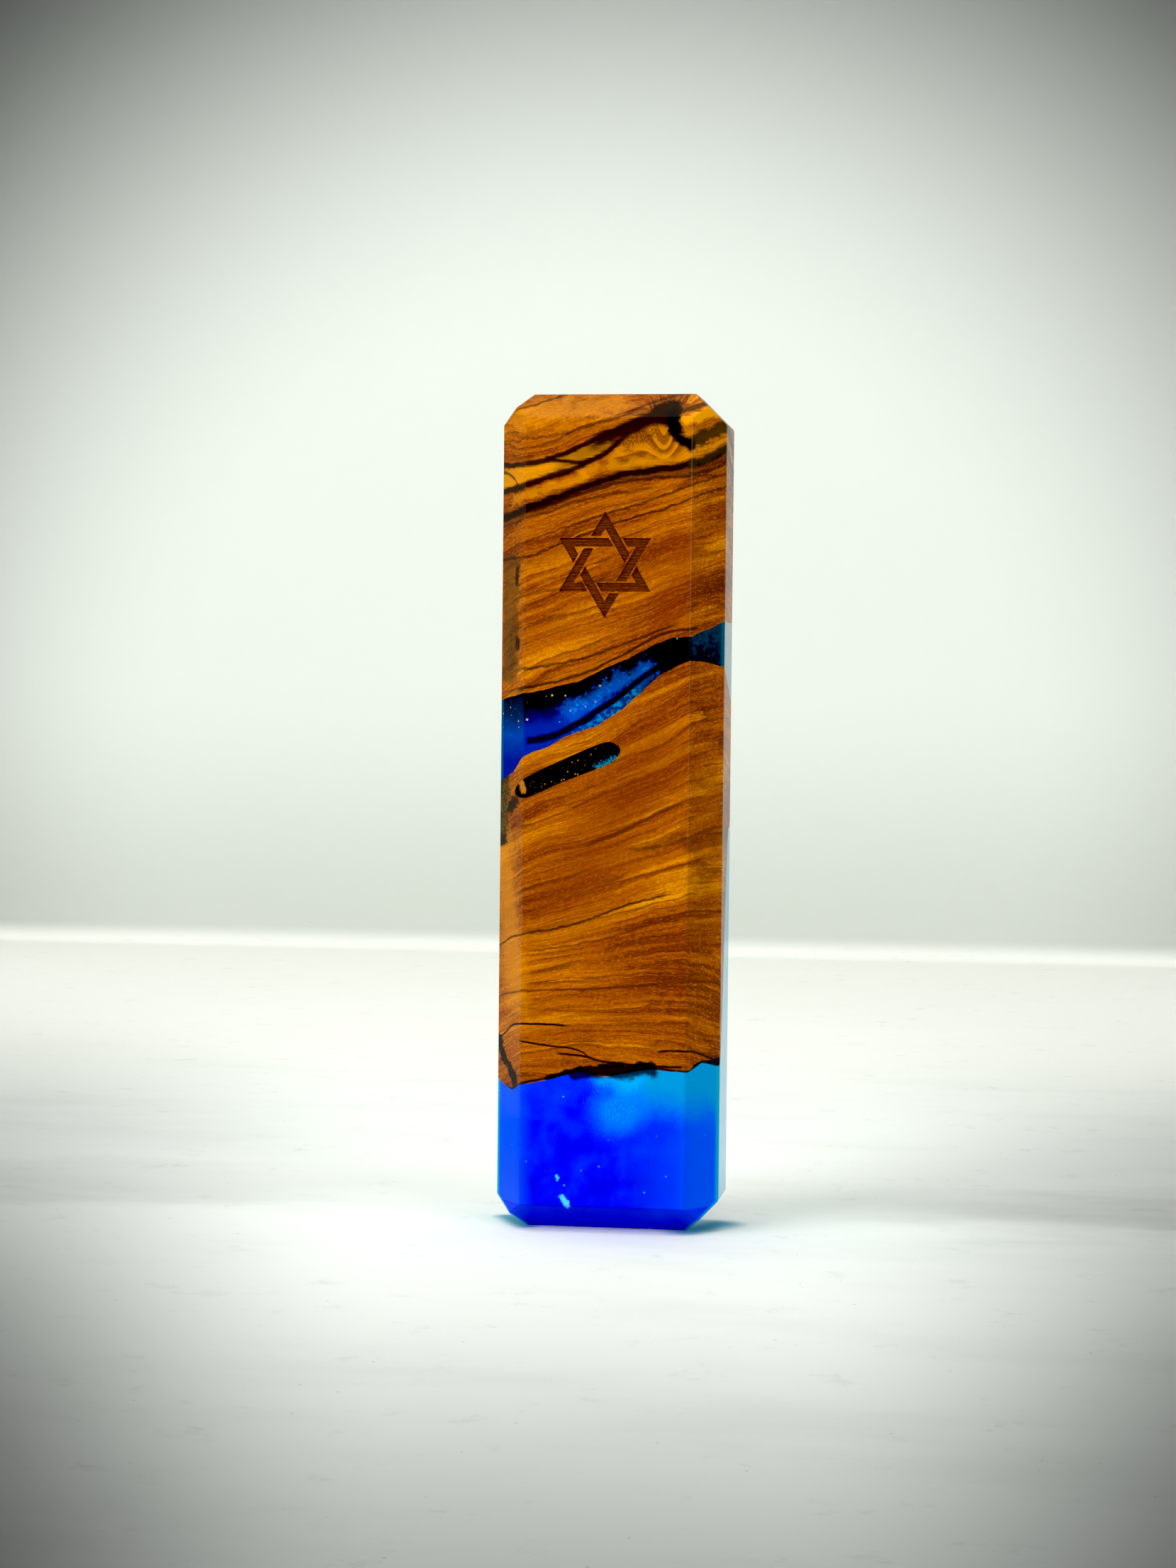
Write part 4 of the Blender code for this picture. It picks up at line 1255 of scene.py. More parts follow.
@dataclass
class Case:
    """The slab: two blocks of olive wood, the resin vein, base and slot, and the emblem.

    All sizes are in metres.

    Attributes:
        side_bevel: Width of the front's bevels along the sides.
        end_bevel: Height of the bevels at the ends.
        bevel_drop: How far back the bevels run.
        corner_cut: How much a corner's cut takes off each of its two sides.
        edge_radius: Rounding of the edges.
        vein_fall: How far the vein's lower seam has fallen at the back, left and right.
        base_rise: How far the base's seam has climbed at the back, left and right.
        base_rise_depths: Depths at which that climb starts and ends.
        seam_roughness: Height of the longest ripple on a seam.
        seam_grid: Points of a seam, across and in depth.
        slot_depth: Depth of the resin slot.
        slot_floor_edge: Chamfer round the slot's floor, inwards and in depth.
        clearance: Room round the cover and the sleeve.
        channel_play: How much wider and higher the channel is than the sleeve.
        channel_corner: Corner radius of the channel.
        channel_chamfer: Chamfer round the channel's floor.
        recess_corner: Corner radius of the cover's recess.
        bore_radius: Radius of a screw's hole.
        bore_past: How far the hole runs past the screw's point.
        bore_tip: Length of the cone at the hole's end.
        star_radius: Radius of the emblem to its points.
        star_stroke: Width of its bands.
        star_gap: Gap where one band passes under another.
        star_depth: Depth of the engraving.
        star_centre: Its centre, (x, z).
        scan_pitch: Height from one scan line of the engraving to the next.
        scan_margin: How far the scanned block reaches past the star's points.
        scan_ripple: Unevenness of the engraving's floor.
        beyond: How far a cutter reaches past the slab.
        overlap: How far one cutter runs into the next.
        proud: How far the engraving's cutters stand out of the front.
        low: The slab's lowest corner, from the CAD.
        high: Its highest corner.
    """

    side_bevel: float = 0.0047
    end_bevel: float = 0.0042
    bevel_drop: float = 0.0059
    corner_cut: float = 0.0048
    edge_radius: float = 0.00028
    vein_fall: tuple[float, float] = (0.003, 0.009)
    base_rise: tuple[float, float] = (0.007, 0.037)
    base_rise_depths: tuple[float, float] = (0.0055, 0.0150)
    seam_roughness: float = 0.00007
    seam_grid: tuple[int, int] = (130, 44)
    slot_depth: float = 0.0032
    slot_floor_edge: tuple[float, float] = (0.00025, 0.0004)
    clearance: float = 0.0003
    channel_play: tuple[float, float] = (0.0012, 0.0030)
    channel_corner: float = 0.0010
    channel_chamfer: float = 0.0008
    recess_corner: float = 0.0028
    bore_radius: float = 0.0014
    bore_past: float = 0.0004
    bore_tip: float = 0.0007
    star_radius: float = 0.0082
    star_stroke: float = 0.0013
    star_gap: float = 0.00028
    star_depth: float = 0.0003
    star_centre: tuple[float, float] = (-0.0005, 0.1033)
    scan_pitch: float = 0.00024
    scan_margin: float = 0.0006
    scan_ripple: float = 0.000035
    beyond: float = 0.002
    overlap: float = 0.0005
    proud: float = 0.001
    low: Vector = field(init=False)
    high: Vector = field(init=False)

    def __post_init__(self) -> None:
        """Takes the slab's box from the CAD."""
        corners = [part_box(node) for node in ("wood_upper", "wood_lower", "resin_base", "resin_vein")]
        self.low = Vector(min(low[i] for low, _ in corners) for i in range(3))
        self.high = Vector(max(high[i] for _, high in corners) for i in range(3))

    @property
    def half(self) -> tuple[float, float]:
        """Half of the slab's width and height."""
        return self.high.x, (self.high.z - self.low.z) / 2

    def slab(self) -> bpy.types.Object:
        """The whole slab: an eight-sided outline carried from front to back.

        At each depth the half width and half height are the full ones less a bevel that closes in
        proportion to the depth. A corner is cut by however far it reaches past the cut's line.

        Returns:
            The slab, with eased edges.
        """
        half_width, half_height = self.half
        limit = half_width + half_height - self.corner_cut
        corner_opens = self.bevel_drop * (1 - self.corner_cut / (self.side_bevel + self.end_bevel))
        depth = np.array([0, corner_opens, self.bevel_drop, self.high.y - self.low.y])
        open_share = np.clip(1 - depth / self.bevel_drop, 0, 1)
        wide = half_width - self.side_bevel * open_share
        tall = half_height - self.end_bevel * open_share
        cut = np.clip(wide + tall - limit, 0, None)
        across = np.stack([wide, wide - cut, cut - wide, -wide, -wide, cut - wide, wide - cut, wide], axis=1)
        level = np.stack([tall - cut, tall, tall, tall - cut, cut - tall, -tall, -tall, cut - tall], axis=1)
        along = np.broadcast_to(self.low.y + depth[:, None], across.shape)
        slab = loft("slab", np.stack([across, along, level + self.low.z + half_height], axis=-1))
        ease_edges(slab, self.edge_radius)
        return slab

    def _seam(self, across: np.ndarray, depth: np.ndarray, line: Points, base: float,
              seed: int) -> np.ndarray:
        """A seam's height before it falls or climbs: the line's height, plus a fine ripple.

        Args:
            across: Places across.
            depth: Places in depth.
            line: The seam's course along the front.
            base: Height that the line is measured from.
            seed: Picks the ripple.

        Returns:
            The height at each place.
        """
        places, heights = np.array(line).T
        return np.interp(across, places, heights) + base + ripple(across, depth, seed, self.seam_roughness)

    def _across(self, across: np.ndarray, ends: tuple[float, float]) -> np.ndarray:
        """A value that goes evenly from one at the left side to another at the right one."""
        return np.interp(across, [-self.half[0], self.half[0]], ends)

    def vein_top(self, across: np.ndarray, depth: np.ndarray) -> np.ndarray:
        """Height of the vein's upper seam, the same at all depths."""
        return self._seam(across, depth, VEIN_TOP, self.half[1], 3)

    def vein_bottom(self, across: np.ndarray, depth: np.ndarray) -> np.ndarray:
        """Height of the vein's lower seam, which falls evenly towards the back."""
        fall = self._across(across, self.vein_fall)
        seam = self._seam(across, depth, VEIN_BOTTOM, self.half[1], 5)
        return seam - fall * depth / (self.high.y - self.low.y)

    def base_top(self, across: np.ndarray, depth: np.ndarray) -> np.ndarray:
        """Height of the base's seam, which climbs behind the wood along an eased step in depth."""
        start, end = self.base_rise_depths
        share = np.clip((depth - start) / (end - start), 0, 1)
        rise = self._across(across, self.base_rise)
        return self._seam(across, depth, BASE_TOP, 0.0, 8) + rise * share**2 * (3 - 2 * share)

    def zone(self, lower: HeightLine, upper: HeightLine) -> bpy.types.Object:
        """A block between two seams.

        At each depth its ring runs along the lower seam and back along the upper one.

        Args:
            lower: Height of its underside by place across and depth.
            upper: Height of its top.

        Returns:
            The block, reaching past the slab all round.
        """
        points_across, points_deep = self.seam_grid
        across = np.linspace(-self.half[0] - self.beyond, self.half[0] + self.beyond, points_across)
        depth = np.linspace(-self.beyond, self.high.y - self.low.y + self.beyond, points_deep)
        x, d = np.meshgrid(across, depth)
        low, high = lower(x, d) + 0 * x, upper(x, d) + 0 * x
        ring_x = np.concatenate([x, x[:, ::-1]], axis=1)
        ring_z = np.concatenate([low, high[:, ::-1]], axis=1)
        ring_y = np.concatenate([d, d], axis=1) + self.low.y
        block = loft("zone", np.stack([ring_x, ring_y, ring_z], axis=-1))
        shape = bmesh.new()
        shape.from_mesh(block.data)
        quads = [face for face in shape.faces if len(face.verts) == 4]
        bmesh.ops.triangulate(shape, faces=quads)
        shape.to_mesh(block.data)
        shape.free()
        return block

    def cavities(self) -> list[bpy.types.Object]:
        """Cutters for the roll's channel, the cover's recess and the two screw holes."""
        sleeve_low, sleeve_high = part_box("roll_sleeve")
        cover_low, cover_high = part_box("back_cover")
        middle = middle_of("roll_sleeve")
        width = sleeve_high.x - sleeve_low.x + self.channel_play[0]
        length = sleeve_high.z - sleeve_low.z + self.channel_play[1]
        floor = sleeve_low.y - self.clearance
        mouth = cover_low.y + self.overlap
        chamfer = self.channel_chamfer
        channel = prism("channel", rounded_rectangle(width, length, self.channel_corner),
                        (floor, floor + chamfer, mouth), (chamfer, 0.0, 0.0), middle)
        recess_width = cover_high.x - cover_low.x + 2 * self.clearance
        recess_length = cover_high.z - cover_low.z + 2 * self.clearance
        recess = prism("recess", rounded_rectangle(recess_width, recess_length, self.recess_corner),
                       (cover_low.y - self.clearance, self.high.y + self.beyond), None, middle)
        cutters = [channel, recess]
        for name in SCREWS:
            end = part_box(name)[0].y - self.bore_past
            profile = ((BLUNT, end - self.bore_tip), (self.bore_radius, end), (self.bore_radius, mouth))
            cutters.append(turned("hole", profile, middle_of(name), 32))
        return cutters

    def slot_cutter(self) -> bpy.types.Object:
        """A prism of the slot's smooth outline, from before the front to the slot's floor."""
        inwards, deep = self.slot_floor_edge
        floor = self.low.y + self.slot_depth
        return prism("slot", closed_curve(SLOT_OUTLINE, 6), (self.low.y - self.beyond, floor - deep, floor),
                     (0, 0, inwards), (0.0, self.half[1]))

    def star_strips(self) -> np.ndarray:
        """Outlines of the star's six strips: two triangles woven over and under each other.

        Each side of a triangle is a band between two parallel lines. A strip turns one corner of a
        triangle, passes over the next crossing band and stops short of the one after it. Its six
        corners are where its own edges cross one another, or cross the lines that stop it. The
        other five strips are the first one, turned by sixths of a full turn.

        Returns:
            Array of strips by 6 points by 2, round the star's centre.
        """
        outer = self.star_radius / 2
        inner = outer - self.star_stroke

        def crossing(first: float, reach: float, second: float, other: float) -> np.ndarray:
            """Where two lines cross, each given by its normal's angle in degrees and its distance."""
            angles = np.radians([first, second])
            return np.linalg.solve(np.stack([np.cos(angles), np.sin(angles)], axis=1), [reach, other])

        strip = np.array([
            crossing(150, outer, 90, outer + self.star_gap), crossing(150, outer, 30, outer),
            crossing(30, outer, 330, inner - self.star_gap), crossing(30, inner, 330, inner - self.star_gap),
            crossing(150, inner, 30, inner), crossing(150, inner, 90, outer + self.star_gap)])
        turn = np.arange(6) * math.pi / 3
        spin = np.stack([np.cos(turn), -np.sin(turn), np.sin(turn), np.cos(turn)], axis=1).reshape(6, 2, 2)
        return np.einsum("tij,pj->tpi", spin, strip)

    def star_cutter(self, burnt: bpy.types.Material) -> bpy.types.Object:
        """The woven star with a floor of fine level ridges, as a laser leaves it.

        The floor's depth is the engraving's depth plus a zigzag along the height, one tooth to a scan
        line, uneven from place to place.

        Args:
            burnt: The material of the cut faces.

        Returns:
            The cutter.
        """
        half = self.star_radius + self.scan_margin
        level = np.arange(-half, half, self.scan_pitch / 2)
        across = np.linspace(-half, half, 40)
        x, z = np.meshgrid(across, level, indexing="ij")
        tooth = (np.arange(len(level)) % 2)[None, :]
        uneven = ripple(x, z * 3, 21, self.scan_ripple)
        floor = self.low.y + self.star_depth * (0.86 + 0.30 * tooth) + uneven
        front = np.full((len(across), 1), self.low.y - self.proud)
        ring_y = np.concatenate([front, floor, front], axis=1)
        ring_z = np.concatenate([level[:1], level, level[-1:]])[None, :] + self.star_centre[1]
        ring_x = across[:, None] + self.star_centre[0]
        ring_x, ring_y, ring_z = np.broadcast_arrays(ring_x, ring_y, ring_z)
        block = loft("scan", np.stack([ring_x, ring_y, ring_z], axis=-1))
        block.data.materials.append(burnt)
        depths = (self.low.y - 0.8 * self.proud, self.low.y + self.proud)
        strips = [prism("strip", outline, depths, None, self.star_centre) for outline in self.star_strips()]
        shape = bmesh.new()
        for strip in strips:
            shape.from_mesh(strip.data)
            bpy.data.objects.remove(strip)
        bmesh.ops.recalc_face_normals(shape, faces=shape.faces)
        mesh = bpy.data.meshes.new("star")
        shape.to_mesh(mesh)
        shape.free()
        star = link("star", mesh)
        star.data.materials.append(burnt)
        carve(star, block, Cut.WITHIN)
        return star

    def build(self) -> None:
        """Cuts the slab into its five pieces and dresses them."""
        slab = self.slab()
        for cutter in self.cavities():
            carve(slab, cutter, Cut.AWAY)
        top, bottom = self.high.z + self.beyond, self.low.z - self.beyond
        zones = {
            "wood_upper_block": (self.vein_top, lambda x, d: top + 0 * x),
            "resin_vein_casting": (self.vein_bottom, self.vein_top),
            "wood_lower_block": (self.base_top, self.vein_bottom),
            "resin_base_casting": (lambda x, d: bottom + 0 * x, self.base_top),
        }
        made = {}
        for name, (lower, upper) in zones.items():
            made[name] = link(name, slab.data.copy())
            carve(made[name], self.zone(lower, upper), Cut.WITHIN)
        plug = link("resin_slot_casting", slab.data.copy())
        bpy.data.objects.remove(slab)
        carve(plug, self.slot_cutter(), Cut.WITHIN)
        carve(made["wood_lower_block"], self.slot_cutter(), Cut.AWAY)

        burnt = BurntGroove().build()
        upper = made["wood_upper_block"]
        upper.data.materials.append(UPPER_WOOD.build(self.low.y))
        carve(upper, self.star_cutter(burnt), Cut.AWAY)
        present(upper, upper.data.materials[0], "wood_upper", "case", "olive_wood")
        present(made["wood_lower_block"], LOWER_WOOD.build(self.low.y), "wood_lower", "case", "olive_wood")
        sizes = (self.half[0] / MM, self.half[1] * 2 / MM, self.corner_cut / MM, self.low.y)
        for piece, part, node, slot in (
            (made["resin_vein_casting"], ResinPart.VEIN, "resin_vein", "blue_resin"),
            (made["resin_base_casting"], ResinPart.BASE, "resin_base", "blue_resin"),
            (plug, ResinPart.SLOT, "resin_slot", "black_resin"),
        ):
            present(piece, CastResin(part, *sizes).build(), node, "case", slot)


# --- What is behind and inside the case ---


@dataclass
class Back:
    """The back cover and the two foam tapes on it.

    All sizes are in metres.

    Attributes:
        cover_corner: Corner radius of the cover.
        cover_edge: Rounding of its edges.
        sink_radius: Radius of a countersink.
        sink_below: Depth of its nearly straight mouth.
        sink_flare: How much that mouth widens outwards.
        bore_radius: Radius of a screw's hole.
        beyond: How far a cutter reaches past the cover.
        tape_corner: Corner radius of a tape.
        tape_shy: How much narrower the foam is than its liner.
        tape_bulge: How far the foam bulges in the middle of its thickness.
        tape_ripple: Unevenness of the foam's sides.
        tape_rings: Rings through the foam's thickness.
        liner: Thickness of the liner.
        liner_corner: How much rounder the liner's corners are than the foam's.
    """

    cover_corner: float = 0.0025
    cover_edge: float = 0.00035
    sink_radius: float = 0.0024
    sink_below: float = 0.0004
    sink_flare: float = 0.00015
    bore_radius: float = 0.0014
    beyond: float = 0.001
    tape_corner: float = 0.0015
    tape_shy: float = 0.0004
    tape_bulge: float = 0.00018
    tape_ripple: float = 0.00004
    tape_rings: int = 6
    liner: float = 0.00012
    liner_corner: float = 0.0002

    def cover(self) -> bpy.types.Object:
        """The cover: a rounded rectangle with eased edges and two countersunk holes."""
        low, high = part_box("back_cover")
        outline = rounded_rectangle(high.x - low.x, high.z - low.z, self.cover_corner)
        edge = self.cover_edge
        eased = edge * 0.3
        piece = prism("back_cover_board", outline,
                      (low.y, low.y + eased, low.y + edge, high.y - edge, high.y - eased, high.y),
                      (edge, eased, 0, 0, eased, edge), middle_of("back_cover"))
        bore, sink = self.bore_radius, self.sink_radius
        mouth = high.y - self.sink_below
        profile = ((bore, low.y - self.beyond), (bore, mouth - (sink - bore)), (sink, mouth),
                   (sink + self.sink_flare, high.y + self.beyond))
        for name in SCREWS:
            carve(piece, turned("sink", profile, middle_of(name)), Cut.AWAY)
        return present(piece, PlainWood().build(), "back_cover", "cover", "cover_wood")

    def tape(self, side: str, seed: int, foam: bpy.types.Material, liner: bpy.types.Material) -> None:
        """One tape: a foam pad with slightly uneven sides, and its liner.

        Args:
            side: "upper" or "lower".
            seed: Picks the unevenness.
            foam: Finish of the pad.
            liner: Finish of the liner.
        """
        node = f"mounting_tape_{side}"
        low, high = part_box(node)
        cover_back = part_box("back_cover")[1].y
        middle = ((low.x + high.x) / 2, (low.z + high.z) / 2)
        width, length = high.x - low.x, high.z - low.z
        corners = rounded_rectangle(width - self.tape_shy, length - self.tape_shy, self.tape_corner, 10)
        share = np.linspace(0, 1, 12, endpoint=False)[None, :, None]
        step = np.roll(corners, -1, axis=0) - corners
        outline = (corners[:, None] + share * step[:, None]).reshape(-1, 2)
        outline += ripple(outline[:, 0], outline[:, 1], seed, self.tape_ripple)[:, None]
        back = high.y - self.liner
        depths = np.linspace(cover_back, back, self.tape_rings)
        bulge = -self.tape_bulge * np.sin(np.linspace(0, math.pi, self.tape_rings))
        pad = prism(f"{node}_pad", outline, depths, bulge, middle)
        present(pad, foam, node, "cover", "foam_tape")
        sheet = rounded_rectangle(width, length, self.tape_corner + self.liner_corner)
        paper = prism(f"{node}_liner", sheet, (back, back + self.liner * 0.5, high.y),
                      (self.liner / 3, 0.0, self.liner / 6), middle)
        present(paper, liner, "", "cover", "foam_tape")

    def build(self) -> None:
        """Makes the cover and both tapes."""
        self.cover()
        foam, liner = Foam().build(), Liner().build()
        self.tape("upper", 31, foam, liner)
        self.tape("lower", 37, foam, liner)


@dataclass
class CoverScrew:
    """A slotted countersunk wood screw with a real thread.

    All sizes are in metres.

    Attributes:
        side: Which screw it is, "upper" or "lower".
        slot_turn: How far its slot is turned from upright, in degrees.
        core: Radius of the shank under the thread.
        crest: Radius of the thread's crests.
        head: Radius of the head.
        rim: Height of the head's straight rim.
        rim_edge: Chamfer of the head's edge.
        plain: Length of the plain shank under the head.
        fade: Length over which the thread runs out into it.
        pitch: Height of one turn of the thread.
        steepness: How narrow the thread's teeth are.
        point: Length of the tapered point.
        slot_width: Width of the slot.
        slot_depth: Depth of the slot.
        rings: Rings along the threaded shank.
    """

    side: str
    slot_turn: float
    core: float = 0.00078
    crest: float = 0.0011
    head: float = 0.0021
    rim: float = 0.00015
    rim_edge: float = 0.00006
    plain: float = 0.0012
    fade: float = 0.0006
    pitch: float = 0.0007
    steepness: float = 3.4
    point: float = 0.0016
    slot_width: float = 0.0006
    slot_depth: float = 0.00045
    rings: int = 150

    def build(self) -> None:
        """Turns the screw, cuts its slot and dresses it.

        The thread's radius is the core plus a steep tooth of the fraction of (distance / pitch minus
        angle / full turn), and it tapers to nothing at the point and fades out under the head.
        """
        node = f"cover_screw_{self.side}"
        low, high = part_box(node)
        centre = middle_of(node)
        neck = high.y - self.rim - (self.head - self.crest)
        shank = np.linspace(low.y, neck - self.plain, self.rings)

        def threaded(radius: np.ndarray, along: np.ndarray, angle: np.ndarray) -> np.ndarray:
            """Adds the thread to the shank's rings."""
            turns = (along - low.y) / self.pitch - angle / FULL_TURN
            tooth = np.clip(1 - np.abs((turns % 1.0) - 0.5) * self.steepness, 0, 1)
            taper = np.clip((along - low.y) / self.point, 0.04, 1) ** 0.8
            fade = np.clip((neck - self.plain - along) / self.fade, 0, 1)
            thread = (self.core + (self.crest - self.core) * tooth * fade) * taper
            return np.where(along <= shank[-1] + 1e-9, thread, radius)

        profile = [(self.core, y) for y in shank]
        profile += [(self.core * 1.05, neck - 0.0008), (self.core * 1.15, neck - 0.0003),
                    (self.crest, neck), (self.head, high.y - self.rim), (self.head, high.y - self.rim_edge),
                    (self.head - self.rim_edge, high.y), (self.head - 0.0006, high.y)]
        screw = turned(f"{node}_turned", profile, centre, 40, threaded)
        bar = rounded_rectangle(self.slot_width, 2.4 * self.head, self.slot_width * 0.2)
        turn = math.radians(self.slot_turn)
        spin = np.array([[math.cos(turn), -math.sin(turn)], [math.sin(turn), math.cos(turn)]])
        depths = (high.y - self.slot_depth, high.y + 0.001)
        carve(screw, prism("bar", bar @ spin.T, depths, None, centre), Cut.AWAY)
        present(screw, Brass().build(centre), node, f"{self.side}_screw", "brass", 40)


@dataclass
class Scroll:
    """The rolled parchment, blank, in its clear sleeve.

    All sizes are in metres.

    Attributes:
        hole: Diameter of the hole down the roll's middle.
        sheet: Thickness of the parchment.
        turns: How many times it is wound.
        turn_points: Points in each turn.
        wall: Thickness of the sleeve.
        sleeve_shy: How far the sleeve's wall lies within its place.
        lap: Height of the sleeve's lap seam.
        lap_angle: Where the lap is, in radians.
        lap_spread: How wide it is, in radians.
    """

    hole: float = 0.0040
    sheet: float = 0.00016
    turns: float = 9.0
    turn_points: int = 48
    wall: float = 0.00035
    sleeve_shy: float = 0.00008
    lap: float = 0.00006
    lap_angle: float = 1.9
    lap_spread: float = 0.18

    def roll(self) -> bpy.types.Object:
        """The parchment: a sheet wound in a spiral, its ends a little uneven.

        At turn t the radius grows evenly from the hole's to the roll's. Each ring is a cut across the
        sheet: its inner face from one end to the other and its outer face back.

        Returns:
            The roll.
        """
        low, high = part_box("parchment_roll")
        outer = (high.x - low.x) / 2 - self.sheet
        middle_y = (low.y + high.y) / 2
        angle = np.linspace(0, self.turns * FULL_TURN, int(self.turns * self.turn_points))[:, None]
        radius = self.hole / 2 + (outer - self.hole / 2) * angle / angle[-1]
        rows = np.linspace(0, 1, 9)
        uneven = 0.00025 * (1 + np.sin(angle * 0.21 + 1.0)) * 0.5 + 0.0001 * (1 + np.sin(angle * 1.7)) * 0.5
        start, end = low.z + uneven, high.z - uneven[::-1]
        level = start + (end - start) * rows[None, :]
        wave = 0.00002 * np.sin(level * 260 + angle)
        heights = np.concatenate([level, level[:, ::-1]], axis=1)
        radii = np.concatenate([radius + wave, radius + self.sheet + wave[:, ::-1]], axis=1)
        rings = np.stack([radii * np.cos(angle), middle_y + radii * np.sin(angle), heights], axis=-1)
        return present(loft("parchment_roll_wound", rings), Parchment().build(), "parchment_roll", "scroll",
                       "parchment", 50)

    def sleeve(self) -> bpy.types.Object:
        """The sleeve: a thin wall turned round the roll, with a slight waist and a lap seam.

        The wall's section goes up outside and down inside; its radius swells by a smooth bump at one
        angle, where the film overlaps itself.

        Returns:
            The sleeve.
        """
        low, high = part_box("roll_sleeve")
        outer = (high.x - low.x) / 2
        middle_y = (low.y + high.y) / 2
        rows = np.linspace(low.z, high.z, 24)[None, :]
        angle = np.linspace(0, FULL_TURN, 72, endpoint=False)[:, None]
        lap = self.lap * np.exp(-((angle - self.lap_angle) / self.lap_spread) ** 2)
        outside = outer - self.sleeve_shy - 0.00003 * np.sin(rows * 90) + lap
        inside = outside - self.wall + self.sleeve_shy
        radii = np.concatenate([outside, inside[:, ::-1]], axis=1)
        heights = np.broadcast_to(np.concatenate([rows, rows[:, ::-1]], axis=1), radii.shape)
        rings = np.stack([radii * np.cos(angle), middle_y + radii * np.sin(angle), heights], axis=-1)
        return present(loft("roll_sleeve_film", rings, closed_path=True), Film().build(), "roll_sleeve",
                       "scroll", "clear_film", 40)

    def build(self) -> None:
        """Makes the roll and its sleeve."""
        self.roll()
        self.sleeve()


# --- The studio ---


@dataclass(frozen=True)
class SoftLight:
    """A square soft light.

    Attributes:
        name: Its name.
        place: Where it stands, in metres.
        size: Its side.
        power: Its power in watts.
        mirrored: Whether glossy surfaces mirror it.
    """

    name: str
    place: tuple[float, float, float]
    size: float
    power: float
    mirrored: bool = True

    def build(self, target: Vector) -> None:
        """Puts the light in place, turned to the target."""
        data = bpy.data.lights.new(self.name, "AREA")
        data.shape = "SQUARE"
        data.size = self.size
        data.energy = self.power
        lamp = bpy.data.objects.new(self.name, data)
        bpy.context.scene.collection.objects.link(lamp)
        lamp.location = self.place
        lamp.visible_glossy = self.mirrored
        lamp.rotation_euler = (target - Vector(self.place)).to_track_quat("-Z", "Y").to_euler()


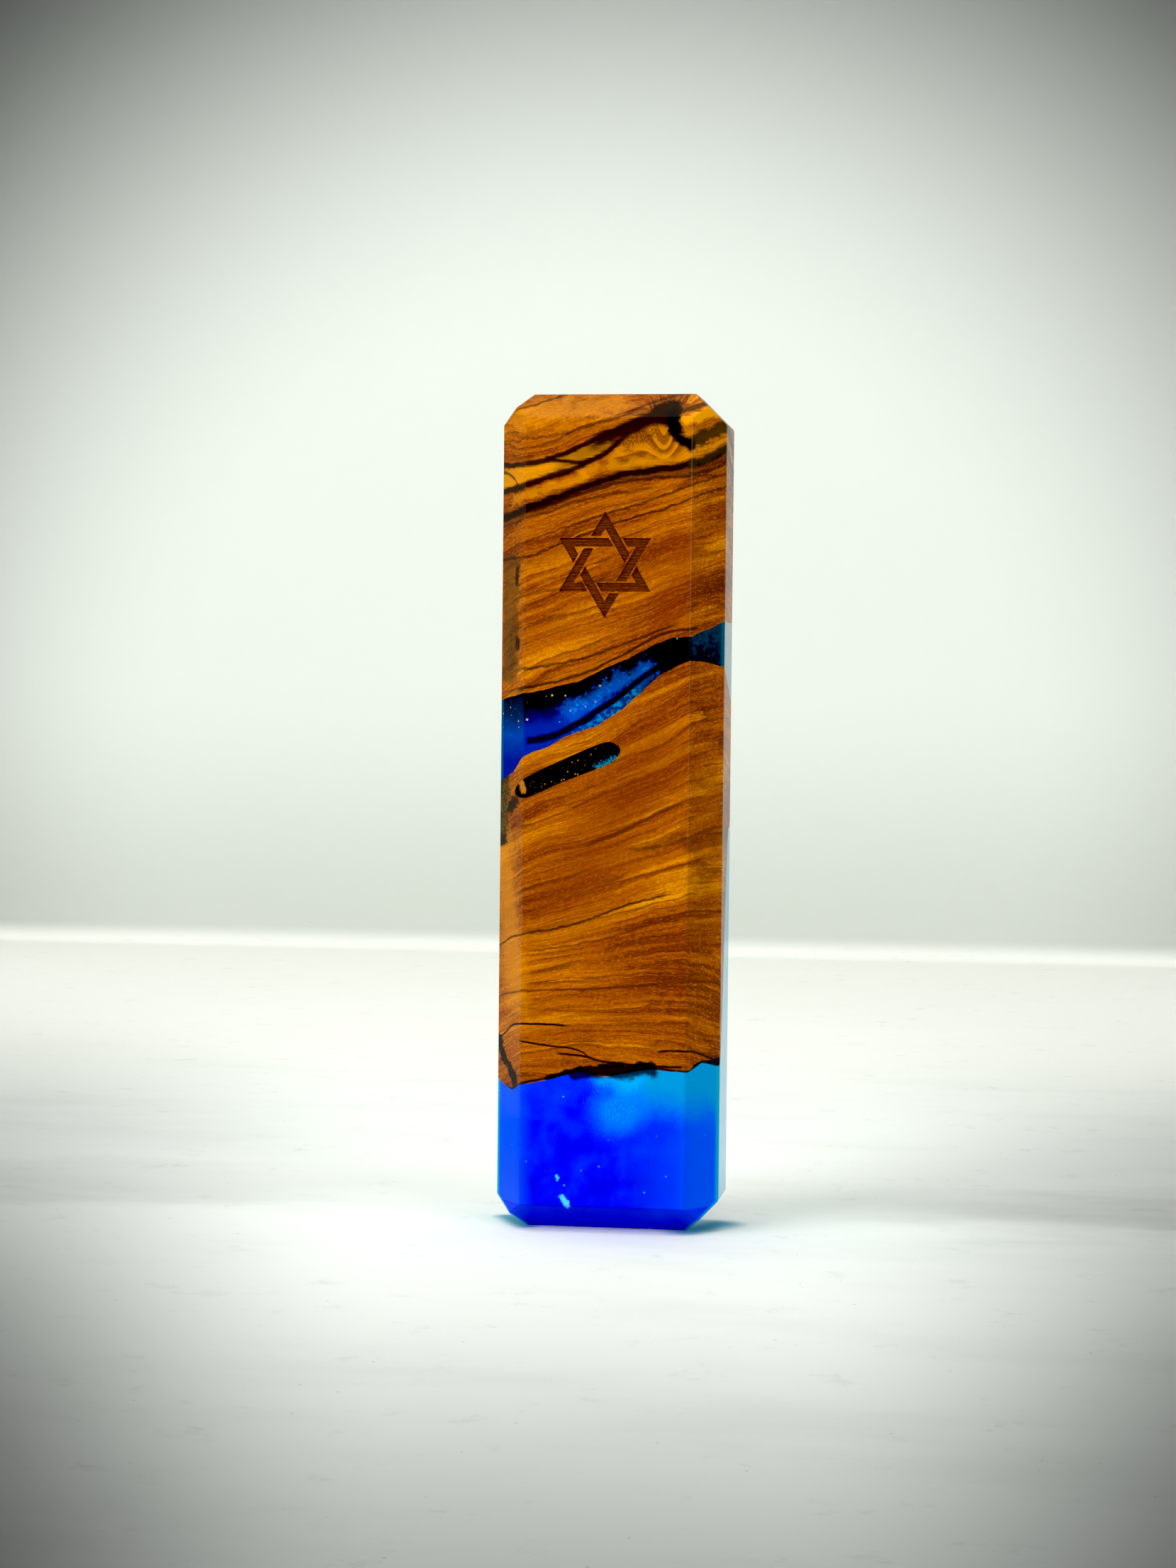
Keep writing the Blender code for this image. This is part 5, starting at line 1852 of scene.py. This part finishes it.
@dataclass
class Studio:
    """Pale table and backdrop in one sweep, soft lights and the camera.

    Lengths are in metres and angles in degrees.

    Attributes:
        camera_place: Where the camera stands.
        camera_turn: Its turn about the vertical.
        camera_tilt: Its tilt up from level.
        camera_roll: Its roll about its own axis.
        lens: Its focal length, in millimetres.
        table_start: Y of the table's near end.
        table_end: Y at which the table turns up into the backdrop.
        sweep_radius: Radius of that turn.
        half_width: Half of the table's width.
        wall_height: Height of the backdrop.
        black: The shade that the print takes for black.
        lights: The soft lights.
    """

    camera_place: tuple[float, float, float] = (0.0684, -0.4848, 0.0835)
    camera_turn: float = 8.51
    camera_tilt: float = -1.66
    camera_roll: float = 0.58
    lens: float = 71.72
    table_start: float = -1.5
    table_end: float = 0.50
    sweep_radius: float = 0.012
    half_width: float = 1.6
    wall_height: float = 1.4
    black: float = 0.016
    lights: tuple[SoftLight, ...] = (
        SoftLight("overhead", (-0.10, -0.05, 0.75), 0.7, 3.8, mirrored=False),
        SoftLight("front left", (-0.55, -0.50, 0.42), 0.5, 5.7, mirrored=False),
        SoftLight("front right", (0.60, -0.55, 0.30), 0.4, 3.8),
    )

    def paper(self) -> bpy.types.Material:
        """Matt white paper, a little green, with painted shade that darkens it outwards round the object.

        The table has faint smudges, marks and specks, a painted grey shadow band beside the object and
        painted light that pales it further back. Its painted dark edge grows outwards and towards the near
        end, and is gone again further out. The backdrop has painted shade that darkens it with the distance
        from a point up behind the object, and near the table. At the object's lower corners a painted glow
        gives the floor the resin's colour, as light through the resin would.

        Returns:
            The material.
        """
        recipe = Recipe("backdrop paper")
        across, along, height = recipe.millimetres()
        place = recipe.vector(across, along, height)
        fibre = recipe.noise(place, 1.8, 3, 0.6)
        smudge = recipe.drawn((across, along, height), (0.012, 0.03, 0.01), 4, 0.6)
        marks = recipe.drawn((across, along, height), (0.10, 0.10, 1.0), 5, 0.74)
        on_wall = height.rise(0.5, 7)
        on_table = 1.0 - on_wall
        # Colour of the painted shade round the object, on the table and the backdrop.
        dark = paint(20, 21, 20)

        coats = Coats(recipe, paint(238, 243, 237))
        coats.lay(on_wall, paint(223, 228, 222))
        coats.lay(smudge.rise(0.45, 0.75) * on_table * 0.22, paint(196, 202, 196))
        # Painted light: the table pales further back, towards the backdrop.
        coats.lay(along.rise(100, 300) * on_table * 0.9, paint(254, 255, 247))
        coats.lay(marks.rise(0.57, 0.72) * on_table * 0.18, paint(150, 156, 150))
        coats.lay(recipe.specks(place, 0.35, 0.07, 0.30) * 0.40, paint(140, 146, 140))
        # Painted shadow: a grey band on the table at each side of the object, stronger at the right.
        painted_shadow_band = abs(along - 24 + (smudge - 0.5) * 70).rise(28, 2) * abs(across).rise(18, 70)
        coats.lay(painted_shadow_band * on_table * (0.14 + across.rise(0, 60) * 0.16), paint(120, 126, 118))

        # Painted shade: a dark edge on the table round the object, wider outwards and towards the near end,
        # gone again further out.
        fan = abs(across + 4 + 0.15 * along) / (91 + 0.188 * along).at_least(20)
        margin = along.rise(-300, -205) * fan.rise(1.50, 1.08) * on_table
        coats.lay(fan.rise(0.3, 1.25) * along.rise(450, -190) * margin * 0.80, dark)
        coats.lay(along.rise(20, -260) * margin * 0.76, dark)
        # Painted shade: a dark ring on the backdrop round a point up behind the object.
        aside, above = across + 82, height - 60
        from_middle = (aside * aside + above * above) ** 0.5
        ring = from_middle.rise(135, 345) * from_middle.rise(470, 350)
        coats.lay(ring * on_wall * 0.93, paint(26, 27, 26))
        # Painted shade: the backdrop darker near the table.
        coats.lay(on_wall * height.rise(90, 4) * 0.42, paint(170, 174, 164))
        # Painted glow: the resin's colour on the floor at the object's lower corners, as light through the
        # resin would cast it.
        for side, reach in ((-1, 3.2), (1, 5.2)):
            painted_resin_glow = near_segment(recipe, across, along, (side * 12.5, -4), (side * 17, 4))
            coats.lay(painted_resin_glow.rise(reach, 0.4) * 0.85, paint(4, 150, 178))
        return recipe.finish(Base_Color=coats.colour, Roughness=0.9, Specular_IOR_Level=0.2,
                             Normal=recipe.bump(fibre, 0.00004, 0.5))

    def sweep(self) -> None:
        """The table and backdrop: a line that runs level, turns up in a quarter circle and climbs."""
        turn = np.linspace(0, math.pi / 2, 17)
        along = np.concatenate([[self.table_start], self.table_end + self.sweep_radius * np.sin(turn),
                                [self.table_end + self.sweep_radius]])
        level = np.concatenate([[0.0], self.sweep_radius * (1 - np.cos(turn)), [self.wall_height]])
        across = np.array([-self.half_width, self.half_width])
        x, y = np.meshgrid(across, along)
        z = np.broadcast_to(level[:, None], x.shape)
        index = np.arange(x.size).reshape(x.shape)
        faces = np.stack([index[:-1, 0], index[:-1, 1], index[1:, 1], index[1:, 0]], axis=-1)
        mesh = bpy.data.meshes.new("sweep")
        mesh.from_pydata(np.stack([x, y, z], axis=-1).reshape(-1, 3).tolist(), [], faces.tolist())
        mesh.materials.append(self.paper())
        mesh.polygons.foreach_set("use_smooth", np.ones(len(faces), bool))
        link("backdrop_sweep", mesh)

    def world(self) -> None:
        """Pale surroundings, dim in front of the case so that its polished face mirrors little.

        Their strength rises from front to back along an eased step; the camera sees an even one.
        """
        recipe = Recipe("studio", world=True)
        bpy.context.scene.world = recipe.owner
        around = recipe.read("ShaderNodeTexCoord", "Generated")
        towards = recipe.read("ShaderNodeSeparateXYZ", "Y", {0: around})
        dim, bright, seen = 0.10, 0.55, 0.62
        lit = towards.rise(-0.5, 0.9) * (bright - dim) + dim
        by_camera = recipe.read("ShaderNodeLightPath", "Is Camera Ray")
        strength = recipe.read("ShaderNodeMix", "Result", {"Factor": by_camera, "A": lit, "B": seen})
        shade = recipe.node("ShaderNodeBackground", None,
                            {"Color": (0.96, 1.0, 0.97), "Strength": strength})
        recipe.show(shade, "ShaderNodeOutputWorld")

    def camera(self) -> None:
        """The camera: turned about the vertical, tilted, and rolled a little."""
        data = bpy.data.cameras.new("camera")
        data.lens = self.lens
        data.sensor_width = 36.0
        camera = bpy.data.objects.new("camera", data)
        bpy.context.scene.collection.objects.link(camera)
        turn = (Matrix.Rotation(math.radians(self.camera_turn), 4, "Z")
                @ Matrix.Rotation(math.radians(90 + self.camera_tilt), 4, "X")
                @ Matrix.Rotation(math.radians(self.camera_roll), 4, "Z"))
        camera.matrix_world = Matrix.Translation(self.camera_place) @ turn
        bpy.context.scene.camera = camera

    def grade(self) -> None:
        """A contrasty print: the darkest shades are pulled down to black."""
        view = bpy.context.scene.view_settings
        view.use_curve_mapping = True
        view.curve_mapping.black_level = (self.black, self.black, self.black)
        view.curve_mapping.update()

    def build(self) -> None:
        """Sets up the table, lights, surroundings and camera."""
        low, high = CAD_BOX
        self.sweep()
        self.world()
        for light in self.lights:
            light.build((low + high) / 2)
        self.camera()
        bpy.context.scene.view_settings.view_transform = "Standard"
        bpy.context.scene.view_settings.look = "None"
        self.grade()
        LOG.info("studio: %d lights", len(self.lights))


def main() -> None:
    """Builds the case, its back, screws and scroll, then the studio round them."""
    logging.basicConfig(level=logging.INFO, format="%(name)s %(message)s")
    Case().build()
    Back().build()
    CoverScrew("upper", 24.0).build()
    CoverScrew("lower", -38.0).build()
    Scroll().build()
    Studio().build()


if __name__ == "__main__":
    main()
